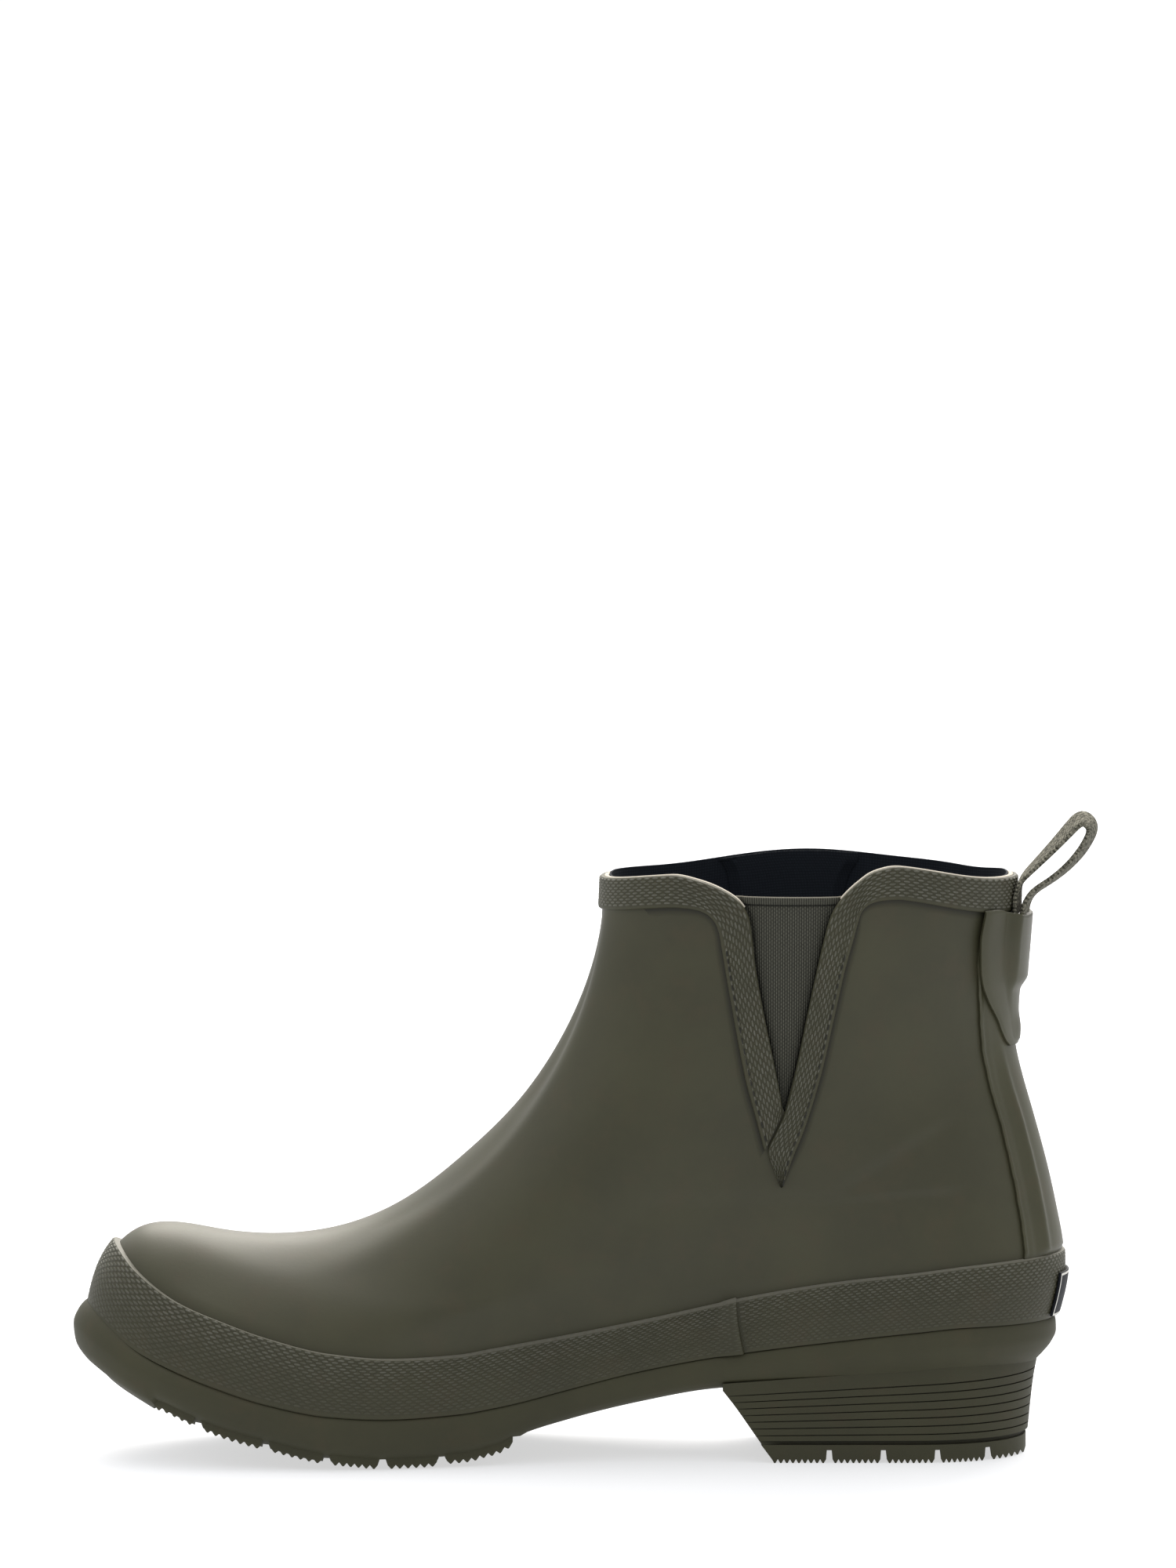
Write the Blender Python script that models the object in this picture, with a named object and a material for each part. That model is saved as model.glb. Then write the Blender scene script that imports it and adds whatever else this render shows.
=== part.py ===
"""Chelsea rain boot for the right foot, empty and standing on its sole.

The toe points to -X, the inner side of the foot is at -Y and Z is up.
Tables are in millimetres and the finished objects are in metres.
Every piece of the upper is cut from one function of the last, skin(angle, fall):
angle runs from the back seam (0) along the inner side to the toe (pi) and back along the
outer side, and fall runs from the collar (0) down to the feather edge (1).
"""

from collections import namedtuple
import math

import bmesh
import bpy
from mathutils import Matrix
import numpy as np

MM = 0.001
GAP = 0.3

# Driving sizes
WALL = 2.0
FOXING_OUT = 2.0
BINDING_OUT = 1.4
BINDING_GAP = 0.4
BINDING_DEPTH = 9.2
STAY_OUT = 1.4
STAY_GAP = 0.45
TAB_LEAST = 0.5
LABEL_OUT = 3.1
LABEL_HALF_ANGLE = 0.27
LABEL_TOP = 52.3
LABEL_BOTTOM = 40.2
GORE_THICK = 1.3
GORE_TOP_DROP = 7.0
GORE_SEAM = 3.0
V_TIP_DROP = 67.5
INSOLE_THICK = 3.0
INSOLE_CLEAR = 0.6
LOOP_WIDTH = 10.0
LOOP_THICK = 1.2
LIFT_TOP = 5.3
HEEL_GROOVES = 7
HEEL_GROOVE_DEEP = 0.7
HEEL_GROOVE_TALL = 0.55
HEEL_GROOVE_FIRST = 0.11
HEEL_GROOVE_STEP = 0.125
HEEL_TALL = 23.0
SLOT_DEEP = 3.0
SLOT_WIDE = 3.0
LIFT_SLOT_DEEP = 3.7
LIFT_SLOT_WIDE = 1.6
ANGLE_STEPS = 60
UPPER_TOE_FALLS = (0.665, 0.73, 0.79, 0.835, 0.87, 0.9, 0.93, 0.965, 1.0)

# Front line of the last from the collar over the instep and the toe to the feather edge.
# round_deep is how deep inside this line the section reaches its full width.
FrontRow = namedtuple("FrontRow", "place x z round_deep")
FRONT_LINE = (
    FrontRow("collar", 5.2, 163.8, 58.0),
    FrontRow("shaft", 4.5, 152.0, 58.0),
    FrontRow("shaft", 0.3, 134.0, 58.0),
    FrontRow("shaft", -7.9, 116.0, 57.0),
    FrontRow("bend", -20.3, 98.3, 55.0),
    FrontRow("instep", -34.1, 84.8, 53.0),
    FrontRow("instep", -50.5, 72.2, 50.0),
    FrontRow("vamp", -65.4, 65.3, 47.0),
    FrontRow("vamp", -77.9, 62.6, 45.0),
    FrontRow("vamp", -90.3, 62.0, 43.0),
    FrontRow("toe", -103.0, 63.2, 41.0),
    FrontRow("toe", -115.9, 65.3, 40.0),
    FrontRow("toe", -125.4, 64.3, 40.0),
    FrontRow("toe", -132.4, 59.4, 40.0),
    FrontRow("toe", -136.8, 52.0, 40.0),
    FrontRow("feather", -139.4, 42.4, 40.0),
)

# Line that the depth ahead of a point is measured from between the toe and the bend
AheadRow = namedtuple("AheadRow", "z x")
AHEAD = (
    AheadRow(65.3, -115.9),
    AheadRow(67.5, -103.0),
    AheadRow(71.0, -84.0),
    AheadRow(76.0, -63.0),
    AheadRow(82.0, -46.0),
    AheadRow(90.0, -31.0),
    AheadRow(98.3, -20.3),
)

# Back line of the last from the collar to the feather edge
BackRow = namedtuple("BackRow", "place x z round_share")
BACK_LINE = (
    BackRow("collar", 120.8, 164.3, 0.50),
    BackRow("shaft", 120.4, 150.0, 0.46),
    BackRow("shaft", 119.8, 135.0, 0.42),
    BackRow("ankle", 119.7, 120.0, 0.37),
    BackRow("ankle", 121.8, 107.3, 0.33),
    BackRow("heel", 125.4, 93.8, 0.27),
    BackRow("heel", 129.0, 80.4, 0.22),
    BackRow("heel", 132.0, 67.0, 0.175),
    BackRow("heel", 133.9, 54.0, 0.14),
    BackRow("feather", 131.0, 39.0, 0.12),
)

# Height of the collar before the V cut-outs, on the inner and the outer side
CollarRow = namedtuple("CollarRow", "x inner outer")
COLLAR = (
    CollarRow(5.2, 163.8, 163.8),
    CollarRow(24.0, 166.9, 164.8),
    CollarRow(44.0, 167.8, 166.0),
    CollarRow(64.0, 169.2, 166.8),
    CollarRow(88.0, 171.0, 166.2),
    CollarRow(104.5, 167.6, 165.2),
    CollarRow(113.0, 165.7, 164.7),
    CollarRow(120.8, 164.3, 164.3),
)

# Feather edge, top edge of the foxing and underside of the outsole, by length
SoleRow = namedtuple("SoleRow", "x feather foxing_top underside")
SOLE = (
    SoleRow(-146.0, 47.0, 66.0, 29.0),
    SoleRow(-139.3, 42.4, 62.8, 23.2),
    SoleRow(-133.0, 37.3, 58.6, 19.0),
    SoleRow(-125.9, 32.1, 52.9, 15.2),
    SoleRow(-115.0, 27.0, 46.2, 10.8),
    SoleRow(-103.0, 22.6, 41.3, 7.2),
    SoleRow(-90.3, 18.8, 37.0, 3.8),
    SoleRow(-72.0, 15.4, 32.8, 0.0),
    SoleRow(-55.4, 14.5, 31.5, 0.0),
    SoleRow(-36.0, 15.4, 32.3, 0.0),
    SoleRow(-26.3, 16.8, 33.8, 3.6),
    SoleRow(-20.0, 18.0, 34.8, 7.2),
    SoleRow(-6.0, 21.4, 37.1, 11.6),
    SoleRow(15.0, 26.4, 41.0, 16.6),
    SoleRow(36.0, 30.3, 45.4, 20.3),
    SoleRow(70.8, 35.0, 52.0, 22.6),
    SoleRow(92.8, 37.5, 54.5, 24.0),
    SoleRow(107.4, 38.8, 56.2, 24.9),
    SoleRow(131.0, 39.0, 57.6, 26.4),
    SoleRow(137.0, 38.6, 57.8, 26.8),
)

# Overlap of the foxing at the inner waist: the front end lies on the rear end
LapRow = namedtuple("LapRow", "x rise")
LAP = (
    LapRow(43.7, 0.0),
    LapRow(43.0, 0.9),
    LapRow(40.0, 0.7),
    LapRow(36.0, 0.0),
)

# Half widths of the last along the foot share (0 heel, 1 toe) at four falls
WidthRow = namedtuple(
    "WidthRow", "foot foot_in foot_out low_in low_out mid_in mid_out top_in top_out"
)
WIDTH_FALLS = (0.0, 0.5, 0.85, 1.0)
WIDTHS = (
    WidthRow(0.00, 30.0, 30.0, 32.0, 32.0, 31.0, 31.0, 38.0, 38.0),
    WidthRow(0.12, 30.5, 30.5, 32.4, 32.4, 32.0, 32.0, 38.0, 38.0),
    WidthRow(0.30, 28.5, 31.5, 31.6, 33.5, 33.2, 33.6, 38.0, 38.0),
    WidthRow(0.45, 29.0, 34.5, 32.4, 36.0, 34.0, 35.0, 38.0, 38.0),
    WidthRow(0.60, 36.5, 40.5, 37.0, 40.8, 35.0, 36.5, 38.0, 38.0),
    WidthRow(0.72, 42.5, 44.5, 42.3, 44.3, 36.4, 38.0, 38.0, 38.0),
    WidthRow(0.84, 41.0, 42.0, 41.8, 42.8, 39.4, 40.4, 38.0, 38.0),
    WidthRow(0.93, 37.0, 37.5, 38.2, 38.8, 40.0, 40.5, 38.0, 38.0),
    WidthRow(1.00, 33.0, 33.0, 34.5, 34.5, 39.5, 39.5, 38.0, 38.0),
)

# Bend of the centre line towards the inner side, which makes this a right boot
BendRow = namedtuple("BendRow", "foot shift")
CENTRE_BEND = (
    BendRow(0.0, 0.0),
    BendRow(0.35, 0.8),
    BendRow(0.65, 0.0),
    BendRow(1.0, -5.0),
)

# Legs of the V: the free edge beside the gore and the edge on the upper, as drops below the collar
LegRow = namedtuple("LegRow", "free_x free_drop body_x body_drop")
FRONT_LEG = (
    LegRow(24.0, 0.0, 24.0, 9.2),
    LegRow(32.0, 1.7, 31.5, 10.0),
    LegRow(39.0, 4.6, 35.6, 12.4),
    LegRow(43.5, 8.0, 37.4, 16.0),
    LegRow(45.9, 12.5, 38.2, 20.5),
    LegRow(47.7, 26.5, 39.4, 28.0),
    LegRow(50.1, 40.1, 41.8, 42.0),
    LegRow(53.0, 54.6, 44.8, 58.0),
    LegRow(55.0, 66.0, 47.8, 69.5),
    LegRow(55.0, 68.4, 50.1, 78.4),
)
BACK_LEG = (
    LegRow(88.0, 0.0, 88.0, 9.3),
    LegRow(81.0, 1.5, 80.8, 10.2),
    LegRow(76.0, 4.7, 77.4, 12.6),
    LegRow(71.6, 8.8, 76.2, 16.2),
    LegRow(68.9, 12.8, 75.2, 20.0),
    LegRow(65.0, 27.7, 72.7, 29.2),
    LegRow(62.3, 40.2, 69.6, 43.0),
    LegRow(59.2, 55.2, 66.2, 58.0),
    LegRow(55.9, 68.0, 62.8, 69.4),
    LegRow(53.4, 73.4, 61.0, 74.6),
    LegRow(51.2, 78.6, 58.8, 79.8),
    LegRow(52.7, 83.8, 56.9, 84.6),
    LegRow(54.6, 89.0, 55.3, 89.2),
)

# Back stay: near edge by height and height of its ridge
StayRow = namedtuple("StayRow", "z edge_x ridge")
BACK_STAY = (
    StayRow(154.0, 111.2, 0.0),
    StayRow(140.0, 111.8, 0.0),
    StayRow(118.0, 112.4, 0.1),
    StayRow(105.0, 114.6, 0.5),
    StayRow(96.0, 117.6, 0.7),
    StayRow(86.0, 120.6, 0.7),
    StayRow(76.0, 123.4, 0.7),
    StayRow(66.0, 125.6, 0.6),
    StayRow(59.0, 126.4, 0.5),
)

# Loop tab: near edge by height, thickness outside the last at the side, the pocket and the middle
TabRow = namedtuple("TabRow", "z edge_x side pocket middle")
LOOP_TAB = (
    TabRow(153.2, 113.6, 2.5, 5.7, 5.9),
    TabRow(146.0, 113.2, 2.5, 5.4, 5.6),
    TabRow(139.0, 113.3, 2.5, 5.0, 5.3),
    TabRow(136.0, 113.6, 2.5, 4.6, 5.2),
    TabRow(131.5, 114.3, 2.4, 3.0, 3.2),
    TabRow(126.0, 115.6, 2.4, 2.6, 3.0),
    TabRow(121.0, 117.0, 2.3, 2.5, 3.4),
    TabRow(117.6, 118.4, 2.1, 2.3, 3.0),
    TabRow(116.2, 119.4, 2.0, 2.0, 2.1),
)

# Middle of the webbing of the pull loop, from the pocket round and back
LoopRow = namedtuple("LoopRow", "x z")
PULL_LOOP = (
    LoopRow(123.5, 153.6),
    LoopRow(123.5, 158.4),
    LoopRow(124.6, 162.8),
    LoopRow(127.8, 167.5),
    LoopRow(132.9, 172.9),
    LoopRow(138.0, 178.2),
    LoopRow(140.0, 180.6),
    LoopRow(142.2, 181.0),
    LoopRow(143.9, 179.2),
    LoopRow(143.7, 175.6),
    LoopRow(141.3, 170.3),
    LoopRow(138.4, 167.0),
    LoopRow(132.8, 162.3),
    LoopRow(127.7, 158.8),
    LoopRow(125.8, 157.0),
    LoopRow(125.6, 153.6),
)

# Side of the outsole from its top edge down: offset from the feather edge by region
SideRow = namedtuple("SideRow", "share side toe seat")
OUTSOLE_SIDE = (
    SideRow(0.00, 1.5, 2.0, 1.6),
    SideRow(0.12, 2.0, 4.0, 2.2),
    SideRow(0.35, 2.2, 5.7, 2.3),
    SideRow(0.60, 1.9, 5.2, 1.0),
    SideRow(0.82, 1.1, 2.8, -1.2),
    SideRow(1.00, -0.8, -2.4, -3.4),
)
UNDERSIDE_CROWN = 1.4
SLOT_X = (-109.2, -90.1, -73.0, -57.2, -40.6)
LIFT_SLOT_X = (68.7, 84.0, 99.3, 113.6)

# Outline of the heel by height share (0 at the seat, 1 at the floor)
HeelRow = namedtuple("HeelRow", "share breast_x back_x half_width")
HEEL = (
    HeelRow(0.0, 38.6, 127.2, 28.6),
    HeelRow(0.2, 41.6, 126.2, 28.4),
    HeelRow(0.6, 47.2, 125.0, 28.2),
    HeelRow(1.0, 53.0, 124.0, 28.0),
)
HEEL_BACK_LONG = 34.0
HEEL_SEAT_FRONT_Z = 20.4
HEEL_SEAT_BACK_Z = 26.1


def column(rows, name):
    return np.array([getattr(row, name) for row in rows], float)


def natural(knots, values):
    """Smooth curve through the rows of values at the knots."""
    count = len(knots)
    step = np.diff(knots)
    matrix = np.eye(count)
    right = np.zeros(count)
    for i in range(1, count - 1):
        matrix[i, i - 1] = step[i - 1]
        matrix[i, i] = 2 * (step[i - 1] + step[i])
        matrix[i, i + 1] = step[i]
        rise = (values[i + 1] - values[i]) / step[i]
        right[i] = 6 * (rise - (values[i] - values[i - 1]) / step[i - 1])
    bend = np.linalg.solve(matrix, right)

    def at(t):
        t = np.asarray(t, float)
        k = np.clip(np.searchsorted(knots, t) - 1, 0, count - 2)
        h = step[k]
        a = (knots[k + 1] - t) / h
        b = (t - knots[k]) / h
        a = np.clip(a, -0.2, 1.2)
        b = np.clip(b, -0.2, 1.2)
        curve = ((a**3 - a) * bend[k] + (b**3 - b) * bend[k + 1]) * h * h / 6
        return a * values[k] + b * values[k + 1] + curve

    return at


def monotone(knots, values):
    """Curve through the values that never swings past them."""
    step = np.diff(knots)
    rise = np.diff(values) / step
    slope = np.zeros(len(knots))
    slope[0] = rise[0]
    slope[-1] = rise[-1]
    for i in range(1, len(knots) - 1):
        if rise[i - 1] * rise[i] > 0:
            w1 = 2 * step[i] + step[i - 1]
            w2 = step[i] + 2 * step[i - 1]
            slope[i] = (w1 + w2) / (w1 / rise[i - 1] + w2 / rise[i])

    def at(t):
        t = np.clip(np.asarray(t, float), knots[0], knots[-1])
        k = np.clip(np.searchsorted(knots, t) - 1, 0, len(knots) - 2)
        h = step[k]
        s = (t - knots[k]) / h
        low = (1 + 2 * s) * (1 - s) ** 2 * values[k] + s * (1 - s) ** 2 * h * slope[k]
        high = s * s * (3 - 2 * s) * values[k + 1] - s * s * (1 - s) * h * slope[k + 1]
        return low + high

    return at


def by_length(rows, rounding_name):
    """x, z and rounding of a line of the last as curves of its fall."""
    x = column(rows, "x")
    z = column(rows, "z")
    run = np.concatenate([[0], np.cumsum(np.hypot(np.diff(x), np.diff(z)))])
    knots = run / run[-1]
    return natural(knots, x), natural(knots, z), monotone(knots, column(rows, rounding_name))


front_x, front_z, front_round = by_length(FRONT_LINE, "round_deep")
back_x, back_z, back_round = by_length(BACK_LINE, "round_share")
collar_in = natural(column(COLLAR, "x"), column(COLLAR, "inner"))
collar_out = natural(column(COLLAR, "x"), column(COLLAR, "outer"))
feather_z = monotone(column(SOLE, "x"), column(SOLE, "feather"))
foxing_top_z = monotone(column(SOLE, "x"), column(SOLE, "foxing_top"))
underside_z = monotone(column(SOLE, "x"), column(SOLE, "underside"))
centre_bend = natural(column(CENTRE_BEND, "foot"), column(CENTRE_BEND, "shift"))
width_curves = {
    name: natural(column(WIDTHS, "foot"), column(WIDTHS, name))
    for name in WidthRow._fields[1:]
}


def half_width(foot, fall, outer):
    """Half width of the last, from the four rows of widths down its side."""
    ends = []
    for level in ("top", "mid", "low", "foot"):
        inner_width = width_curves[level + "_in"](foot)
        outer_width = width_curves[level + "_out"](foot)
        ends.append(np.where(outer, outer_width, inner_width))
    top, mid, low, base = ends
    falls = np.array(WIDTH_FALLS)
    total = np.zeros_like(top)
    for i, values in enumerate((top, mid, low, base)):
        weight = np.zeros(len(falls))
        weight[i] = 1
        total = total + values * monotone(falls, weight)(fall)
    return total


def side_view(foot, fall, outer):
    """x and z of the last at a share of the foot and a fall, between its four border lines."""
    top_x = BACK_LINE[0].x + (FRONT_LINE[0].x - BACK_LINE[0].x) * foot
    top_z = np.where(outer, collar_out(top_x), collar_in(top_x))
    low_x = BACK_LINE[-1].x + (FRONT_LINE[-1].x - BACK_LINE[-1].x) * foot
    low_z = feather_z(low_x)
    x = (1 - foot) * back_x(fall) + foot * front_x(fall)
    z = (1 - foot) * back_z(fall) + foot * front_z(fall)
    flat_z = (1 - foot) * ((1 - fall) * BACK_LINE[0].z + fall * BACK_LINE[-1].z)
    flat_z = flat_z + foot * ((1 - fall) * FRONT_LINE[0].z + fall * FRONT_LINE[-1].z)
    z = z + (1 - fall) * top_z + fall * low_z - flat_z
    return x, z


def front_edges():
    """The front line as height by length, and as length by height with the vamp eased."""
    fall = np.linspace(1, 0, 3000)
    x = front_x(fall)
    z = front_z(fall)
    height_x = np.append(x, [x[-1] + 200])
    height_z = np.append(z, [z[-1] + 4000])
    top = np.argmax(np.where(x < AHEAD[0].x + 20, z, 0))
    toe_z = z[: top + 1]
    toe_x = x[: top + 1]
    eased_z = np.linspace(AHEAD[0].z, AHEAD[-1].z, 200)[1:-1]
    eased_x = monotone(column(AHEAD, "z"), column(AHEAD, "x"))(eased_z)
    shaft = z >= AHEAD[-1].z
    ahead_z = np.concatenate([[0], toe_z, eased_z, z[shaft]])
    ahead_x = np.concatenate([[x[0] - 5], toe_x, eased_x, x[shaft]])
    return height_x, height_z, ahead_z, ahead_x


HEIGHT_X, HEIGHT_Z, AHEAD_Z, AHEAD_X = front_edges()


def front_depth(foot, fall, outer):
    """Depth of a point inside the front line, from its depth below and behind the line."""
    near = np.minimum(foot, 0.998)
    x, z = side_view(near, fall, outer)
    below = np.maximum(np.interp(x, HEIGHT_X, HEIGHT_Z) - z, 1e-3)
    behind = np.maximum(x - np.interp(z, AHEAD_Z, AHEAD_X), 1e-3)
    return below * behind / np.hypot(below, behind) * (1 - foot) / (1 - near)


def rounding(share, room):
    """Rise of the section from 0 at the middle line to 1 at its full width."""
    t = np.clip(share / room, 0, 1)
    return np.sqrt(np.clip(1 - (1 - t) ** 2.25, 0, 1))


def skin(angle, fall):
    """Outer face of the upper."""
    angle = np.mod(np.asarray(angle, float), 2 * math.pi)
    fall = np.asarray(fall, float)
    angle, fall = np.broadcast_arrays(angle, fall)
    outer = angle > math.pi
    foot = (1 - np.cos(angle)) / 2
    x, z = side_view(foot, fall, outer)
    width = half_width(foot, fall, outer)
    width = width * rounding(front_depth(foot, fall, outer), front_round(fall))
    width = width * rounding(foot, back_round(fall))
    middle = centre_bend(foot) * np.clip(fall, 0, 1) ** 1.5
    y = middle + np.where(outer, width, -width)
    return np.stack([x, y, z], axis=-1)


def outward(angle, fall):
    """Unit normal of the outer face of the upper."""
    h = 2e-3
    along = skin(angle + h, fall) - skin(angle - h, fall)
    down = skin(angle, fall + h) - skin(angle, fall - h)
    normal = np.cross(along, down)
    return normal / np.linalg.norm(normal, axis=-1, keepdims=True)


def locate(x, z, outer):
    """angle and fall of the point of the skin that the side view shows at x, z."""
    x = np.asarray(x, float)
    z = np.asarray(z, float)
    grid_foot, grid_fall = np.meshgrid(np.linspace(0.01, 0.99, 50), np.linspace(0, 1, 51))
    gx, gz = side_view(grid_foot, grid_fall, np.full(grid_foot.shape, outer))
    apart = (gx.ravel() - x[..., None]) ** 2 + (gz.ravel() - z[..., None]) ** 2
    best = np.argmin(apart, axis=-1)
    foot = grid_foot.ravel()[best]
    fall = grid_fall.ravel()[best]
    side = np.full(foot.shape, outer)
    h = 1e-4
    for _ in range(20):
        px, pz = side_view(foot, fall, side)
        fx, fz = side_view(foot + h, fall, side)
        dx, dz = side_view(foot, fall + h, side)
        a, b = (fx - px) / h, (dx - px) / h
        c, d = (fz - pz) / h, (dz - pz) / h
        det = a * d - b * c
        ex, ez = x - px, z - pz
        foot = np.clip(foot + (d * ex - b * ez) / det, 1e-6, 1 - 1e-6)
        fall = np.clip(fall + (a * ez - c * ex) / det, 0.0, 1.0)
    angle = np.arccos(1 - 2 * foot)
    if outer:
        angle = 2 * math.pi - angle
    return angle, fall


def fall_where(angle, above):
    """Fall at which above(x, z) of the skin changes from positive to negative."""
    high = np.zeros(np.shape(angle))
    low = np.ones(np.shape(angle))
    for _ in range(40):
        mid = (high + low) / 2
        point = skin(angle, mid)
        over = above(point[..., 0], point[..., 2]) > 0
        high = np.where(over, mid, high)
        low = np.where(over, low, mid)
    return (high + low) / 2


def add_object(name, points, faces, look):
    """Closed mesh object in metres with its faces turned outwards."""
    mesh = bpy.data.meshes.new(name)
    mesh.from_pydata([tuple(MM * value for value in point) for point in points], [], faces)
    shape = bmesh.new()
    shape.from_mesh(mesh)
    bmesh.ops.recalc_face_normals(shape, faces=shape.faces)
    shape.to_mesh(mesh)
    shape.free()
    mesh.materials.append(look)
    obj = bpy.data.objects.new(name, mesh)
    boot.objects.link(obj)
    return obj


def grid_faces(rows, cols, start, loop):
    faces = []
    for i in range(rows if loop else rows - 1):
        j = (i + 1) % rows
        for k in range(cols - 1):
            a = start + i * cols + k
            b = start + j * cols + k
            faces.append((a, b, b + 1, a + 1))
    return faces


def shell(name, angle, fall, inner, outer, look, loop=False, on_feather=False):
    """Solid between two offsets of the skin over a grid of angle and fall."""
    point = skin(angle, fall)
    normal = outward(angle, fall)
    out_face = point + normal * np.broadcast_to(outer, angle.shape)[..., None]
    in_face = point + normal * np.broadcast_to(inner, angle.shape)[..., None]
    if on_feather:
        for face in (out_face, in_face):
            face[:, -1, 2] = feather_z(face[:, -1, 0])
    return slab(name, out_face, in_face, look, loop)


def slab(name, out_face, in_face, look, loop=False):
    """Solid between two grids of points, closed round its edges."""
    rows, cols = out_face.shape[:2]
    count = rows * cols
    points = np.concatenate([out_face.reshape(-1, 3), in_face.reshape(-1, 3)])
    faces = grid_faces(rows, cols, 0, loop)
    faces += [face[::-1] for face in grid_faces(rows, cols, count, loop)]
    for i in range(rows if loop else rows - 1):
        j = (i + 1) % rows
        for k in (0, cols - 1):
            a = i * cols + k
            b = j * cols + k
            faces.append((a, b, b + count, a + count))
    if not loop:
        for i in (0, rows - 1):
            for k in range(cols - 1):
                a = i * cols + k
                faces.append((a, a + 1, a + 1 + count, a + count))
    return add_object(name, points, faces, look)


def rubber(name, colour, rough):
    look = bpy.data.materials.new(name)
    look.use_nodes = True
    shader = look.node_tree.nodes["Principled BSDF"]
    shader.inputs["Base Color"].default_value = (*colour, 1)
    shader.inputs["Roughness"].default_value = rough
    shader.inputs["Metallic"].default_value = 0.0
    return look


def prism(name, outline, low_y, high_y):
    """Cutter with an outline in the side view, through a range of y."""
    shape = bmesh.new()
    near = [shape.verts.new((x * MM, low_y * MM, z * MM)) for x, z in outline]
    face = shape.faces.new(near)
    made = bmesh.ops.extrude_face_region(shape, geom=[face])
    far = [item for item in made["geom"] if isinstance(item, bmesh.types.BMVert)]
    bmesh.ops.translate(shape, verts=far, vec=(0, (high_y - low_y) * MM, 0))
    bmesh.ops.recalc_face_normals(shape, faces=shape.faces)
    mesh = bpy.data.meshes.new(name)
    shape.to_mesh(mesh)
    shape.free()
    obj = bpy.data.objects.new(name, mesh)
    cutters.objects.link(obj)
    obj.hide_render = True
    obj.display_type = "WIRE"
    return obj


def cut(obj, tools):
    for tool in tools:
        modifier = obj.modifiers.new(tool.name, "BOOLEAN")
        modifier.operation = "DIFFERENCE"
        modifier.solver = "EXACT"
        modifier.object = tool


def side_drop(drop, outer):
    """Drop below the collar on either side: the outer collar runs level with its gore."""
    if not outer:
        return drop
    return np.maximum(0, drop - GORE_TOP_DROP) * V_TIP_DROP / (V_TIP_DROP - GORE_TOP_DROP)


def collar_z(x, outer):
    return collar_out(x) if outer else collar_in(x)


def leg_points(rows, count, outer):
    """Free edge and body edge of a leg of the V in the side view."""
    knots = np.arange(len(rows), dtype=float)
    t = np.linspace(0, len(rows) - 1, count)
    free_x = monotone(knots, column(rows, "free_x"))(t)
    body_x = monotone(knots, column(rows, "body_x"))(t)
    free_drop = side_drop(monotone(knots, column(rows, "free_drop"))(t), outer)
    body_drop = side_drop(monotone(knots, column(rows, "body_drop"))(t), outer)
    body_drop = np.maximum(body_drop, free_drop + np.where(t < 3, BINDING_DEPTH - t, 0))
    free_z = collar_z(free_x, outer) - free_drop
    body_z = collar_z(body_x, outer) - body_drop
    return free_x, free_z, body_x, body_z


def leg_grid(rows, count, outer):
    """angle and fall across a leg of the V, in rows along it."""
    free_x, free_z, body_x, body_z = leg_points(rows, count, outer)
    across = np.linspace(0, 1, 2)
    x = free_x[:, None] + (body_x - free_x)[:, None] * across
    z = free_z[:, None] + (body_z - free_z)[:, None] * across
    return locate(x, z, outer)


def collar_rows(first, last, count):
    """angle and fall of the tape along the collar between two angles."""
    angle = np.linspace(first, last, count)[:, None] + np.zeros((1, 2))
    top = skin(angle, np.zeros(angle.shape))
    depth = BINDING_DEPTH * np.linspace(0, 1, 2)
    fall = fall_where(angle, lambda x, z: z - (top[..., 2] - depth))
    fall[:, 0] = 0
    return angle, fall


def binding(name, rows, turn, look):
    """Tape up one leg, along the collar past the angle turn, and down the other leg."""
    inner_angle, inner_fall = leg_grid(rows, 26, False)
    outer_angle, outer_fall = leg_grid(rows, 26, True)
    if turn == 0:
        outer_angle = outer_angle - 2 * math.pi
    start = inner_angle[0, 0]
    end = outer_angle[0, 0]
    angle, fall = collar_rows(start, end, 19)
    angle = np.concatenate([inner_angle[::-1], angle[1:-1], outer_angle])
    fall = np.concatenate([inner_fall[::-1], fall[1:-1], outer_fall])
    return shell(name, angle, fall, BINDING_GAP, BINDING_OUT, look)


def v_cutter(name, outer):
    front_fx, front_fz, _, _ = leg_points(FRONT_LEG[:-1], 18, outer)
    rear_fx, rear_fz, _, _ = leg_points(BACK_LEG[:9], 18, outer)
    outline = [(front_fx[0], 190.0)]
    outline += list(zip(front_fx, front_fz))
    outline += list(zip(rear_fx[::-1], rear_fz[::-1]))
    outline += [(rear_fx[0], 190.0)]
    if outer:
        return prism(name, outline, 5.0, 70.0)
    return prism(name, outline, -70.0, -5.0)


def gore(name, outer, look):
    """Elastic panel behind the V, with a seam allowance under its legs."""
    share = np.linspace(0, 1, 8)
    top = GORE_TOP_DROP + 0.2
    drop = top + (V_TIP_DROP + 3 - top) * share
    front_at = monotone(column(FRONT_LEG[3:9], "free_drop"), column(FRONT_LEG[3:9], "free_x"))
    rear_at = monotone(column(BACK_LEG[3:9], "free_drop"), column(BACK_LEG[3:9], "free_x"))
    left = front_at(drop) - GORE_SEAM
    right = rear_at(drop) + GORE_SEAM
    across = np.linspace(0, 1, 5)
    x = left[:, None] + (right - left)[:, None] * across
    drops = side_drop(drop, outer)[:, None] + np.zeros((1, 5))
    z = collar_z(58.0, outer) - drops
    angle, fall = locate(x, z, outer)
    return shell(name, angle, fall, -WALL - GAP - GORE_THICK, -WALL - GAP, look)


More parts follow.
